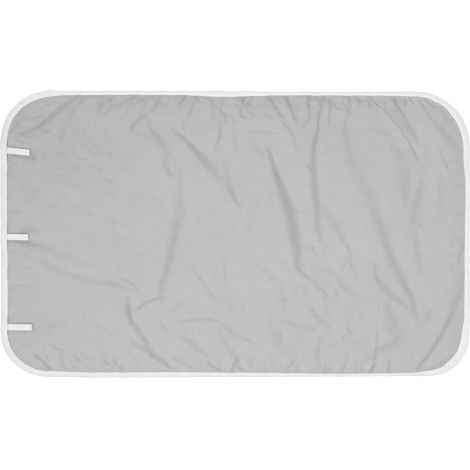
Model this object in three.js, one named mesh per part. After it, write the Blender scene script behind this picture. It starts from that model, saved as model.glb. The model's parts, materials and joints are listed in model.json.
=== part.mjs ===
// Ironing pad: a padded cotton mat bound all round with folded tape, with three hanging
// loops caught in the binding of its left end.
// Millimetres, +Z up. The origin is the centre of the footprint on the table, +X runs along
// the pad away from the loops, and +Y across it.

import * as THREE from "three";
import { mergeVertices } from "three/addons/utils/BufferGeometryUtils.js";

// Outline
const PAD_LENGTH = 900;
const PAD_WIDTH = 550;
const LOWER_RIGHT_RADIUS = 77;
const UPPER_RIGHT_RADIUS = 105;
const UPPER_LEFT_RADIUS = 97;
const LOWER_LEFT_RADIUS = 90;

// Layers, from the table up
const BACK_THICKNESS = 0.4;
const PADDING_THICKNESS = 6;
const SEWN_PADDING_THICKNESS = 1.2;
const FACE_THICKNESS = 0.4;
const LAYER_GAP = 0.1;
const CROWN_LENGTH = 20; // the padding swells back to full height over a few of these
const BACK_DROP_LENGTH = 24; // inside the binding, the back comes down to the table over this

// Soft folds across the face
const FOLD_DEPTH = 1.2;
const FOLD_HALF_WIDTH = 26;
const FOLDS = [
  { from: [-114, 199], to: [1, 59] },
  { from: [-105, 113], to: [-149, -113] },
  { from: [-411, -22], to: [-187, -112] },
  { from: [-206, -118], to: [-143, -214] },
  { from: [64, 161], to: [131, -70] },
  { from: [160, 233], to: [158, -5] },
  { from: [222, 200], to: [342, -136] },
  { from: [270, 246], to: [356, 132] },
  { from: [408, -184], to: [356, -250] },
];

// Binding tape, folded round the edge and stitched through
const BINDING_WIDTH = 12;
const BINDING_THICKNESS = 0.6;
const FOLD_RADIUS = 1.8; // how far the fold bulges out past the layers that it holds
const STITCH_INSET = 2; // from the inner edge of the binding to its row of stitches
const THREAD_DIAMETER = 0.25;
const THREAD_GAP = 0.04;

// Hanging loops: a length of tape folded in half, both ends under the binding
const TAPE_WIDTH = 11.5;
const TAPE_THICKNESS = 0.6;
const SEAT_GAP = 0.3; // between the tape and what it lies on
const EYE_HEIGHT = 5.2; // the tape's fold springs open into an eye
const SEWN_LENGTH = 2; // past the fold line the two halves still lie together
const FOLD_LINE_OFFSET = 0.8; // from the binding's inner edge to where a loop folds back
const FOLD_LINE_GAP = 0.3;
const LIFT_RAMP = 8; // the binding climbs over a loop's ends in this length
const LIFT_MARGIN = 2.5;
const LOOPS = [
  { name: "upper", y: 161, reach: 45, tilt: -6.3 },
  { name: "middle", y: -5, reach: 42, tilt: -1 },
  { name: "lower", y: -178, reach: 49, tilt: 0 },
];

// Fineness of the facets
const BINDING_CORNER_STEPS = 10;
const SHEET_CORNER_STEPS = 5;
const SHEET_SPACING = 40;
const SHEET_RINGS = [0, 0.03, 0.08, 0.16, 0.3, 0.5, 0.75, 1];
const FOLD_STEPS = 6;
const THREAD_SIDES = 5;
const LOOP_STEPS = 8;

const { degToRad, smoothstep, clamp } = THREE.MathUtils;
const halfLength = PAD_LENGTH / 2;
const halfWidth = PAD_WIDTH / 2;

// Heights of the stack where the binding squeezes it, and of the face in the middle
const bindingBottom = THREAD_DIAMETER + 2 * THREAD_GAP;
const sewnBackBottom = bindingBottom + BINDING_THICKNESS + LAYER_GAP;
const sewnPaddingBottom = sewnBackBottom + BACK_THICKNESS + LAYER_GAP;
const sewnFaceTop =
  sewnPaddingBottom + SEWN_PADDING_THICKNESS + LAYER_GAP + FACE_THICKNESS;
const bindingTop = sewnFaceTop + LAYER_GAP + BINDING_THICKNESS;
const fullFaceTop =
  BACK_THICKNESS + LAYER_GAP + PADDING_THICKNESS + LAYER_GAP + FACE_THICKNESS;
const layerInset = FOLD_RADIUS + LAYER_GAP;
const tapeLift = 2 * (TAPE_THICKNESS + SEAT_GAP) - LAYER_GAP;
const liftHalfWidth = TAPE_WIDTH / 2 + LIFT_MARGIN;

// The four corners, counter-clockwise from the lower right, each an arc about its centre
const CORNERS = [
  corner(1, -1, LOWER_RIGHT_RADIUS, -90),
  corner(1, 1, UPPER_RIGHT_RADIUS, 0),
  corner(-1, 1, UPPER_LEFT_RADIUS, 90),
  corner(-1, -1, LOWER_LEFT_RADIUS, 180),
];

function corner(xSide, ySide, radius, startAngle) {
  const x = xSide * (halfLength - radius);
  const y = ySide * (halfWidth - radius);
  return { xSide, ySide, x, y, radius, startAngle };
}

function cornerBy(x, y) {
  return CORNERS.find((c) => c.xSide * x >= 0 && c.ySide * y >= 0);
}

// A station is a point of the outer outline with its outward normal.
function arcStation(c, angle) {
  const nx = Math.cos(degToRad(angle));
  const ny = Math.sin(degToRad(angle));
  return { x: c.x + c.radius * nx, y: c.y + c.radius * ny, nx, ny };
}

function cornerStations(c, steps) {
  const angles = Array.from({ length: steps + 1 }, (_, i) => (90 * i) / steps);
  return angles.map((angle) => arcStation(c, c.startAngle + angle));
}

// Station on the left end of the outline, at a height y that may fall in a corner.
function leftStation(y) {
  const c = cornerBy(-1, y);
  const ny = (Math.sign(y) * Math.max(Math.abs(y) - Math.abs(c.y), 0)) / c.radius;
  const nx = -Math.sqrt(1 - ny * ny);
  return { x: c.x + c.radius * nx, y, nx, ny };
}

// Multiples of the spacing that lie well inside a straight edge, in the edge's direction.
function straightSteps(start, end, spacing) {
  const [low, high] = [Math.min(start, end), Math.max(start, end)];
  const count = Math.ceil(PAD_LENGTH / spacing);
  const steps = Array.from({ length: 2 * count + 1 }, (_, i) => (i - count) * spacing)
    .filter((step) => step > low + spacing / 3 && step < high - spacing / 3);
  return start < end ? steps : steps.reverse();
}

// All the way round for the layers, with stations along the straight edges too.
function sheetStations() {
  return CORNERS.flatMap((c, i) => {
    const arc = cornerStations(c, SHEET_CORNER_STEPS);
    const end = arc.at(-1);
    const next = CORNERS[(i + 1) % CORNERS.length];
    const start = arcStation(next, next.startAngle);
    const along = Math.abs(end.nx) > Math.abs(end.ny) ? "y" : "x";
    const edge = straightSteps(end[along], start[along], SHEET_SPACING);
    return [...arc, ...edge.map((step) => ({ ...end, [along]: step }))];
  });
}

// All the way round for the binding, with stations where it climbs over the loops' ends.
function bindingStations() {
  const [lowerRight, upperRight, upperLeft, lowerLeft] = CORNERS.map((c) =>
    cornerStations(c, BINDING_CORNER_STEPS),
  );
  const shoulders = LOOPS.flatMap(({ y }) =>
    [-1, 1].flatMap((side) => [
      leftStation(y + side * liftHalfWidth),
      leftStation(y + side * (liftHalfWidth + LIFT_RAMP)),
    ]),
  );
  const leftEnd = [...upperLeft, ...shoulders, ...lowerLeft];
  leftEnd.sort((a, b) => b.y - a.y);
  return [...lowerRight, ...upperRight, ...leftEnd];
}

// The binding's rise over the ends of the loops, which lie under it.
function bindingLift(station) {
  if (station.x > 0) return 0;
  const nearest = Math.min(...LOOPS.map(({ y }) => Math.abs(station.y - y)));
  const share = 1 - (nearest - liftHalfWidth) / LIFT_RAMP;
  return tapeLift * clamp(share, 0, 1);
}

function insetPoint(station, inset) {
  return [station.x - inset * station.nx, station.y - inset * station.ny];
}

// How far inside the outer outline a point lies.
function outlineDepth(x, y) {
  const c = cornerBy(x, y);
  const dx = Math.abs(x) - Math.abs(c.x);
  const dy = Math.abs(y) - Math.abs(c.y);
  const past = Math.hypot(Math.max(dx, 0), Math.max(dy, 0));
  return c.radius - past - Math.min(Math.max(dx, dy), 0);
}

// Left side of the outline at an inset, at a height y.
function leftEdge(y, inset) {
  const c = cornerBy(-1, y);
  const past = Math.max(Math.abs(y) - Math.abs(c.y), 0);
  const radius = c.radius - inset;
  return c.x - Math.sqrt(Math.max(radius * radius - past * past, 0));
}

// Surfaces of the pad

// From 0 at the binding's inner edge to 1 where the padding is at its full height.
function swell(depth) {
  return 1 - Math.exp(-Math.max(depth - BINDING_WIDTH, 0) / CROWN_LENGTH);
}

function foldDepth(x, y) {
  const point = new THREE.Vector3(x, y, 0);
  const nearest = new THREE.Vector3();
  return FOLDS.reduce((deepest, { from, to }) => {
    const line = new THREE.Line3(new THREE.Vector3(...from), new THREE.Vector3(...to));
    const share = line.closestPointToPointParameter(point, true);
    const away = point.distanceTo(line.at(share, nearest)) / FOLD_HALF_WIDTH;
    return Math.max(deepest, FOLD_DEPTH * Math.exp(-away * away));
  }, 0);
}

function faceTop(x, y) {
  const crown = swell(outlineDepth(x, y));
  return sewnFaceTop + (fullFaceTop - sewnFaceTop - foldDepth(x, y)) * crown;
}

const faceBottom = (x, y) => faceTop(x, y) - FACE_THICKNESS;
const paddingTop = (x, y) => faceBottom(x, y) - LAYER_GAP;
const paddingBottom = (x, y) => backTop(x, y) + LAYER_GAP;
const backTop = (x, y) => backBottom(x, y) + BACK_THICKNESS;

function backBottom(x, y) {
  const inside = outlineDepth(x, y) - BINDING_WIDTH;
  return sewnBackBottom * (1 - clamp(inside / BACK_DROP_LENGTH, 0, 1));
}

// Solids

// One closed solid from triangles given by their corner points, without the ones that
// shrink to a line where a ring of points meets itself.
function solidFrom(triangles) {
  const same = (a, b) => a.every((value, i) => Math.abs(value - b[i]) < 1e-4);
  const kept = triangles.filter(
    ([a, b, c]) => !same(a, b) && !same(b, c) && !same(c, a),
  );
  const positions = new THREE.Float32BufferAttribute(kept.flat(2), 3);
  const geometry = new THREE.BufferGeometry().setAttribute("position", positions);
  return mergeVertices(geometry);
}

// Two triangles for each square between neighbouring points of two rings.
function joinRings(first, second) {
  return first.flatMap((a, i) => {
    const next = (i + 1) % first.length;
    const [b, c, d] = [first[next], second[next], second[i]];
    return [[a, b, c], [a, c, d]];
  });
}

// A strip carried round the outline: its section is a closed list of [inset, height].
function sweepGeometry(stations, sectionAt) {
  const rings = stations.map((station) =>
    sectionAt(station).map(([inset, z]) => [...insetPoint(station, inset), z]),
  );
  const squares = rings.flatMap((ring, i) =>
    joinRings(ring, rings[(i + 1) % rings.length]),
  );
  return solidFrom(squares);
}

// A layer of the pad between two surfaces: rings of points run from its edge to the
// binding's inner edge and on to the line that lies furthest from every edge.
function sheetGeometry(top, bottom) {
  const stations = sheetStations();
  const spine = Math.max(halfLength - halfWidth, 0);
  const edge = stations.map((station) => insetPoint(station, layerInset));
  const inner = stations.map((station) => insetPoint(station, BINDING_WIDTH));
  const toSpine = SHEET_RINGS.map((share) =>
    inner.map(([x, y]) => [
      x + (clamp(x, -spine, spine) - x) * share,
      y * (1 - share),
    ]),
  );
  const rings = [edge, ...toSpine];
  const raise = (ring, height) => ring.map(([x, y]) => [x, y, height(x, y)]);
  const skin = (height) =>
    rings.slice(1).flatMap((ring, i) =>
      joinRings(raise(rings[i], height), raise(ring, height)),
    );
  const underside = skin(bottom).map(([a, b, c]) => [a, c, b]);
  const rim = joinRings(raise(edge, bottom), raise(edge, top));
  return solidFrom([...skin(top), ...underside, ...rim]);
}

// Half of an ellipse that closes the fold of the binding, from its top to its bottom.
function foldArc(thickness, lift) {
  const top = bindingTop + lift - thickness;
  const bottom = bindingBottom + thickness;
  return Array.from({ length: FOLD_STEPS + 1 }, (_, i) => {
    const angle = (Math.PI * i) / FOLD_STEPS;
    const inset = FOLD_RADIUS - (FOLD_RADIUS - thickness) * Math.sin(angle);
    return [inset, (top + bottom) / 2 + ((top - bottom) / 2) * Math.cos(angle)];
  });
}

function bindingSection(station) {
  const lift = bindingLift(station);
  const outside = foldArc(0, lift);
  const inside = foldArc(BINDING_THICKNESS, lift).reverse();
  return [
    [BINDING_WIDTH, bindingTop + lift],
    ...outside,
    [BINDING_WIDTH, bindingBottom],
    [BINDING_WIDTH, bindingBottom + BINDING_THICKNESS],
    ...inside,
    [BINDING_WIDTH, bindingTop + lift - BINDING_THICKNESS],
  ];
}

function threadSection(height) {
  const inset = BINDING_WIDTH - STITCH_INSET;
  return Array.from({ length: THREAD_SIDES }, (_, i) => {
    const angle = (2 * Math.PI * i) / THREAD_SIDES;
    const radius = THREAD_DIAMETER / 2;
    return [inset - radius * Math.sin(angle), height + radius * Math.cos(angle)];
  });
}

const needleThreadSection = (station) =>
  threadSection(bindingTop + bindingLift(station) + THREAD_GAP + THREAD_DIAMETER / 2);
const bobbinThreadSection = () =>
  threadSection(bindingBottom - THREAD_GAP - THREAD_DIAMETER / 2);

// Height of a loop's underside at a distance past its fold line, lying on the crown.
function loopSeat(distance) {
  const crown = swell(BINDING_WIDTH + FOLD_LINE_OFFSET + distance);
  return sewnFaceTop + (fullFaceTop - sewnFaceTop) * crown + SEAT_GAP;
}

// Side view of a loop: the lower half follows the face, and the upper half rises from it
// into the round eye at the tip.
function loopShape(reach) {
  const start = FOLD_LINE_GAP / 2;
  const eyeRadius = EYE_HEIGHT / 2;
  const eyeCentre = reach - eyeRadius - TAPE_THICKNESS;
  const steps = (from) =>
    Array.from({ length: LOOP_STEPS + 1 }, (_, i) =>
      THREE.MathUtils.lerp(from, eyeCentre, i / LOOP_STEPS),
    );
  const open = (d) => EYE_HEIGHT * smoothstep(d, SEWN_LENGTH, eyeCentre);
  const half = (from, height) => steps(from).map((d) => new THREE.Vector2(d, height(d)));
  const eyeHeight = loopSeat(eyeCentre) + TAPE_THICKNESS + eyeRadius;
  const quarter = Math.PI / 2;

  const shape = new THREE.Shape();
  shape.setFromPoints(half(start, loopSeat));
  shape.absarc(eyeCentre, eyeHeight, eyeRadius + TAPE_THICKNESS, -quarter, quarter);
  half(start, (d) => loopSeat(d) + 2 * TAPE_THICKNESS + open(d))
    .reverse()
    .forEach((point) => shape.lineTo(point.x, point.y));

  const eye = new THREE.Path();
  eye.setFromPoints(half(SEWN_LENGTH, (d) => loopSeat(d) + TAPE_THICKNESS));
  eye.absarc(eyeCentre, eyeHeight, eyeRadius, -quarter, quarter);
  half(SEWN_LENGTH, (d) => loopSeat(d) + TAPE_THICKNESS + open(d))
    .reverse()
    .slice(0, -1)
    .forEach((point) => eye.lineTo(point.x, point.y));
  shape.holes.push(eye);
  return shape;
}

// Stands a side view up along the tape and gives it the tape's width.
function tapeGeometry(shape) {
  return new THREE.ExtrudeGeometry(shape, { depth: TAPE_WIDTH, bevelEnabled: false })
    .rotateX(Math.PI / 2)
    .translate(0, TAPE_WIDTH / 2, 0);
}

// The two ends of a loop's tape, one on the other under the binding.
function tailShape(length) {
  const bottom = sewnFaceTop + SEAT_GAP;
  const top = bottom + 2 * TAPE_THICKNESS;
  const end = -FOLD_LINE_GAP / 2;
  const corners = [[-length, bottom], [end, bottom], [end, top], [-length, top]];
  return new THREE.Shape(corners.map(([x, y]) => new THREE.Vector2(x, y)));
}

// The fold line of a loop clears the binding over the whole width of the tape.
function foldLine({ y }) {
  const sides = [y - TAPE_WIDTH / 2, y, y + TAPE_WIDTH / 2];
  const rightmost = (inset) => Math.max(...sides.map((side) => leftEdge(side, inset)));
  const x = rightmost(BINDING_WIDTH) + FOLD_LINE_OFFSET;
  return { x, tailLength: x - rightmost(layerInset) - SEAT_GAP };
}

// Materials
const greyCotton = { color: 0xbebebe, roughness: 0.75, metalness: 0.1 };
const whiteTape = { color: 0xe9e9e8, roughness: 0.9, metalness: 0 };
const whiteFelt = { color: 0xdedcd6, roughness: 1, metalness: 0 };
const whiteThread = { color: 0xf1f1ef, roughness: 0.7, metalness: 0 };

function piece(name, geometry, finish) {
  geometry.computeVertexNormals();
  const mesh = new THREE.Mesh(geometry, new THREE.MeshStandardMaterial(finish));
  mesh.name = name;
  return mesh;
}

function loopGroup(loop) {
  const { x, tailLength } = foldLine(loop);
  const group = new THREE.Group();
  group.position.set(x, loop.y, 0);
  group.rotation.z = degToRad(loop.tilt);
  group.add(
    piece(`hanging_loop_${loop.name}`, tapeGeometry(loopShape(loop.reach)), whiteTape),
    piece(`loop_tail_${loop.name}`, tapeGeometry(tailShape(tailLength)), whiteTape),
  );
  return group;
}

const ironingPad = new THREE.Group();
ironingPad.add(
  piece("back_fabric", sheetGeometry(backTop, backBottom), greyCotton),
  piece("padding", sheetGeometry(paddingTop, paddingBottom), whiteFelt),
  piece("face_fabric", sheetGeometry(faceTop, faceBottom), greyCotton),
  piece("edge_binding", sweepGeometry(bindingStations(), bindingSection), whiteTape),
  piece(
    "binding_needle_thread",
    sweepGeometry(bindingStations(), needleThreadSection),
    whiteThread,
  ),
  piece(
    "binding_bobbin_thread",
    sweepGeometry(bindingStations(), bobbinThreadSection),
    whiteThread,
  ),
  ...LOOPS.map(loopGroup),
);

export default ironingPad;
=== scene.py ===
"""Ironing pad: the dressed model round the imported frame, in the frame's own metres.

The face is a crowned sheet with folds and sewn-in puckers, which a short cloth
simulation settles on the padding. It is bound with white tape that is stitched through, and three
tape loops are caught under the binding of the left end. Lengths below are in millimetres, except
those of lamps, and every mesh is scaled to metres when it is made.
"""
import json
import math

import bpy
import numpy as np
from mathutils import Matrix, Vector


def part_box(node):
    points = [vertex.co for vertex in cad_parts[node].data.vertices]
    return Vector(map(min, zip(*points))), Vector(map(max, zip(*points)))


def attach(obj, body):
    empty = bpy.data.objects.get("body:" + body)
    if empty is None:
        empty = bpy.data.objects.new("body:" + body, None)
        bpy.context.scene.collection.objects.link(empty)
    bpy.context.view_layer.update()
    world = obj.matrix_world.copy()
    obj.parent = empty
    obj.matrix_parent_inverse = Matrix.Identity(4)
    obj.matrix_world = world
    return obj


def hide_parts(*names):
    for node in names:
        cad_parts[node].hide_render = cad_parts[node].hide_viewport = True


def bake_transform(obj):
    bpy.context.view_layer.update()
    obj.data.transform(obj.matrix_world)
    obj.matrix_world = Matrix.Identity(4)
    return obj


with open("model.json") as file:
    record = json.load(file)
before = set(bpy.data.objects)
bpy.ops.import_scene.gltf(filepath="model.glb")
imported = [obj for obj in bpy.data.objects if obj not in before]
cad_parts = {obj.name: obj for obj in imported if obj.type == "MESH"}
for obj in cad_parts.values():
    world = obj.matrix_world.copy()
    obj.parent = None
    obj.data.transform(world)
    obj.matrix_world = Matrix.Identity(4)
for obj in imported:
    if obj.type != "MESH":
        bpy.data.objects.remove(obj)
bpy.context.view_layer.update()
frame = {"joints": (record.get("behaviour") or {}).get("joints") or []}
MILLIMETRE = 0.001


def box_in_millimetres(node):
    low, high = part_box(node)
    return np.array(low) / MILLIMETRE, np.array(high) / MILLIMETRE


# Sizes shared with the solids
BINDING_LOW, BINDING_HIGH = box_in_millimetres("edge_binding")
HALF_LENGTH, HALF_WIDTH = BINDING_HIGH[:2]
BINDING_BOTTOM = BINDING_LOW[2]
CORNER_RADII = {(1, -1): 77.0, (1, 1): 105.0, (-1, 1): 97.0, (-1, -1): 90.0}
FABRIC_THICKNESS = 0.4
TAPE_THICKNESS = 0.6
LAYER_GAP = 0.1
SEAT_GAP = 0.3
BINDING_WIDTH = 12.0
SEWN_BACK_BOTTOM, SEWN_FACE_TOP, FULL_FACE_TOP = 1.03, 3.23, 7.0
BINDING_TOP = 3.93
TAPE_WIDTH = 11.5
FOLD_RADIUS = 1.8
BACK_DROP_LENGTH = 24.0

# Sizes of this model alone: the loops lie flatter than their solids, the tape climbs higher over
# them, and the layers end further inside the binding.
EYE_HEIGHT = 1.3
TAPE_LIFT = 2.1
LAYER_INSET = 3.8


def loop_sizes():
    """Fold line, turn and reach of each loop, from its joint and its solid."""
    loops = {}
    for joint in frame["joints"]:
        name = joint["child"].removesuffix("_loop")
        place = np.array(joint["pos_m"]) / MILLIMETRE
        tilt = math.atan2(joint["axis"][0], -joint["axis"][1])
        tip = box_in_millimetres(f"hanging_loop_{name}")[1][0]
        reach = (tip - place[0] - TAPE_WIDTH / 2 * abs(math.sin(tilt))) / math.cos(tilt)
        loops[name] = {"x": place[0], "y": place[1], "tilt": tilt, "reach": reach}
    return loops


LOOPS = loop_sizes()

# Mesh fineness
FACE_CELLS = (560, 344)
COARSE_STEP = 4
EVERY_FEW = (slice(None, None, COARSE_STEP),) * 2
EDGE_DENSITY = 0.35
BINDING_STEP = 1.0


# Outline of the pad

CORNERS = (((1, -1), -90), ((1, 1), 0), ((-1, 1), 90), ((-1, -1), 180))


def corner_radius(x, y):
    """Radius of the corner that each point's quarter of the pad ends in."""
    right = np.where(y >= 0, CORNER_RADII[1, 1], CORNER_RADII[1, -1])
    left = np.where(y >= 0, CORNER_RADII[-1, 1], CORNER_RADII[-1, -1])
    return np.where(x >= 0, right, left)


def outline_depth(x, y):
    """How far inside the outer outline each point lies."""
    radius = corner_radius(x, y)
    dx = np.abs(x) - (HALF_LENGTH - radius)
    dy = np.abs(y) - (HALF_WIDTH - radius)
    past = np.hypot(np.maximum(dx, 0), np.maximum(dy, 0))
    return radius - past - np.minimum(np.maximum(dx, dy), 0)


def edge_x(y, side, inset):
    """X of the left (-1) or right (1) side of the outline at an inset, for heights y."""
    radius = corner_radius(np.full_like(y, side), y)
    past = np.maximum(np.abs(y) - (HALF_WIDTH - radius), 0)
    reach = np.sqrt(np.maximum((radius - inset) ** 2 - past ** 2, 0))
    return side * (HALF_LENGTH - radius + reach)


def direction(degrees):
    return np.array([math.cos(math.radians(degrees)), math.sin(math.radians(degrees))])


def outline_stretches():
    """The corners and the sides after them, counter-clockwise, each with where it starts along
    the outline, and the length of the whole outline."""
    stretches, total = [], 0.0
    for i, (corner, start) in enumerate(CORNERS):
        following = CORNERS[(i + 1) % 4][0]
        radius = CORNER_RADII[corner]
        centre = np.array(corner) * (HALF_LENGTH - radius, HALF_WIDTH - radius)
        half_side = HALF_WIDTH if corner[0] == following[0] else HALF_LENGTH
        span = 2 * half_side - radius - CORNER_RADII[following]
        arc = radius * math.pi / 2
        stretches.append({"centre": centre, "radius": radius, "start": start, "corner": corner,
                          "arc_at": total, "side_at": total + arc, "span": span})
        total += arc + span
    return stretches, total


STRETCHES, AROUND = outline_stretches()


def outline_points(step):
    """Points of the outline about a step apart, with their outward normals."""
    points, normals = [], []
    for stretch in STRETCHES:
        count = round(stretch["radius"] * math.pi / 2 / step)
        angles = np.radians(stretch["start"] + np.linspace(0, 90, count, endpoint=False))
        outward = np.stack([np.cos(angles), np.sin(angles)], axis=1)
        points.append(stretch["centre"] + stretch["radius"] * outward)
        normals.append(outward)
        normal = direction(stretch["start"] + 90)
        count = round(stretch["span"] / step)
        run = np.linspace(0, stretch["span"], count, endpoint=False)[:, None]
        points.append(stretch["centre"] + stretch["radius"] * normal
                      + run * direction(stretch["start"] + 180))
        normals.append(np.repeat(normal[None], count, axis=0))
    return np.concatenate(points), np.concatenate(normals)


def outline_position(x, y):
    """Distance along the outline of the place nearest to each point."""
    along = np.zeros(np.shape(x))
    nearest = np.full(np.shape(x), np.inf)
    for stretch in STRETCHES:
        normal = direction(stretch["start"] + 90)
        tangent = direction(stretch["start"] + 180)
        begin = stretch["centre"] + stretch["radius"] * normal
        away = (begin[0] - x) * normal[0] + (begin[1] - y) * normal[1]
        run = (x - begin[0]) * tangent[0] + (y - begin[1]) * tangent[1]
        along = np.where(away < nearest, stretch["side_at"] + run, along)
        nearest = np.minimum(away, nearest)
    for stretch in STRETCHES:
        dx, dy = x - stretch["centre"][0], y - stretch["centre"][1]
        quarter = (dx * stretch["corner"][0] > 0) & (dy * stretch["corner"][1] > 0)
        turned = (np.degrees(np.arctan2(dy, dx)) - stretch["start"]) % 360
        along = np.where(quarter, stretch["arc_at"] + stretch["radius"] * np.radians(turned), along)
    return along % AROUND


def smooth_step(value):
    value = np.clip(value, 0, 1)
    return value * value * (3 - 2 * value)


# Visible band of the binding

# By place on the outline: visible width of the tape, and how far it lies inside the outline.
BAND = [
    ((450, -150), 10.0, -0.9), ((450, -60), 9.5, -0.9), ((450, 90), 7.5, -0.7), ((450, 150), 11.5, -0.6),
    ((436, 222), 13.5, -0.3), ((397, 261), 10.0, 2.0), ((345, 275), 9.0, 2.0), ((260, 275), 7.2, 2.6),
    ((100, 275), 6.6, 2.6), ((-25, 275), 10.5, 1.0), ((-110, 275), 7.0, 1.2), ((-190, 275), 6.8, 0.8),
    ((-320, 275), 8.2, -0.4), ((-378, 272), 13.0, -1.2), ((-422, 247), 13.0, -1.0),
    ((-447, 203), 13.0, 0), ((-450, 100), 13.0, -0.2), ((-450, -60), 13.2, 0.8),
    ((-450, -150), 13.6, 1.2), ((-438, -230), 13.8, -0.8), ((-405, -263), 13.2, 0.8),
    ((-360, -275), 12.0, 0.8), ((-270, -275), 10.8, -1.4), ((-110, -275), 11.0, -0.8),
    ((10, -275), 9.2, 0.2), ((210, -275), 6.6, 1.2), ((330, -275), 7.0, 2.4),
    ((393, -272), 12.5, 3.2), ((427, -252), 17.0, 1.5), ((447, -218), 16.5, 0.5),
]
BAND_OFFSET_SHARE = 0.7
# Unevenness is a sum of waves: the shortest and the longest of them, how many, and their seed.
OFFSET_WAVES, OFFSET_UNEVENNESS = (25, 90, 12, 22), 0.2
EDGE_WAVES, EDGE_UNEVENNESS = (14, 60, 20, 21), 0.25


def along_band(along, column):
    """A value of the band by its distance along the outline."""
    places = np.array([entry[0] for entry in BAND], float)
    position = outline_position(places[:, 0], places[:, 1])
    values = np.array([entry[column] for entry in BAND], float)
    order = np.argsort(position)
    position, values = position[order], values[order]
    position = np.concatenate([position[-1:] - AROUND, position, position[:1] + AROUND])
    values = np.concatenate([values[-1:], values, values[:1]])
    here = np.clip(np.searchsorted(position, along, side="right") - 1, 0, len(position) - 2)
    share = (along - position[here]) / (position[here + 1] - position[here])
    return values[here] + (values[here + 1] - values[here]) * smooth_step(share)


def ring_waves(along, shortest, longest, count, seed):
    """Unevenness along the outline that joins up with itself."""
    rng = np.random.default_rng(seed)
    total = np.zeros(along.shape)
    for _ in range(count):
        turns = round(AROUND / rng.uniform(shortest, longest))
        total += np.sin(2 * math.pi * turns * along / AROUND + rng.uniform(0, 2 * math.pi))
    return total / math.sqrt(count)


def band_offset(along):
    """How far the outer edge of the tape lies inside the outline."""
    uneven = OFFSET_UNEVENNESS * ring_waves(along, *OFFSET_WAVES)
    return BAND_OFFSET_SHARE * along_band(along, 2) + uneven


def band_edge(along):
    """How far the inner edge of the tape lies inside the outline."""
    uneven = EDGE_UNEVENNESS * ring_waves(along, *EDGE_WAVES)
    return band_offset(along) + along_band(along, 1) + uneven


def inside_seam(x, y):
    """How far inside the inner edge of the tape each point lies."""
    return outline_depth(x, y) - band_edge(outline_position(x, y))
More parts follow.
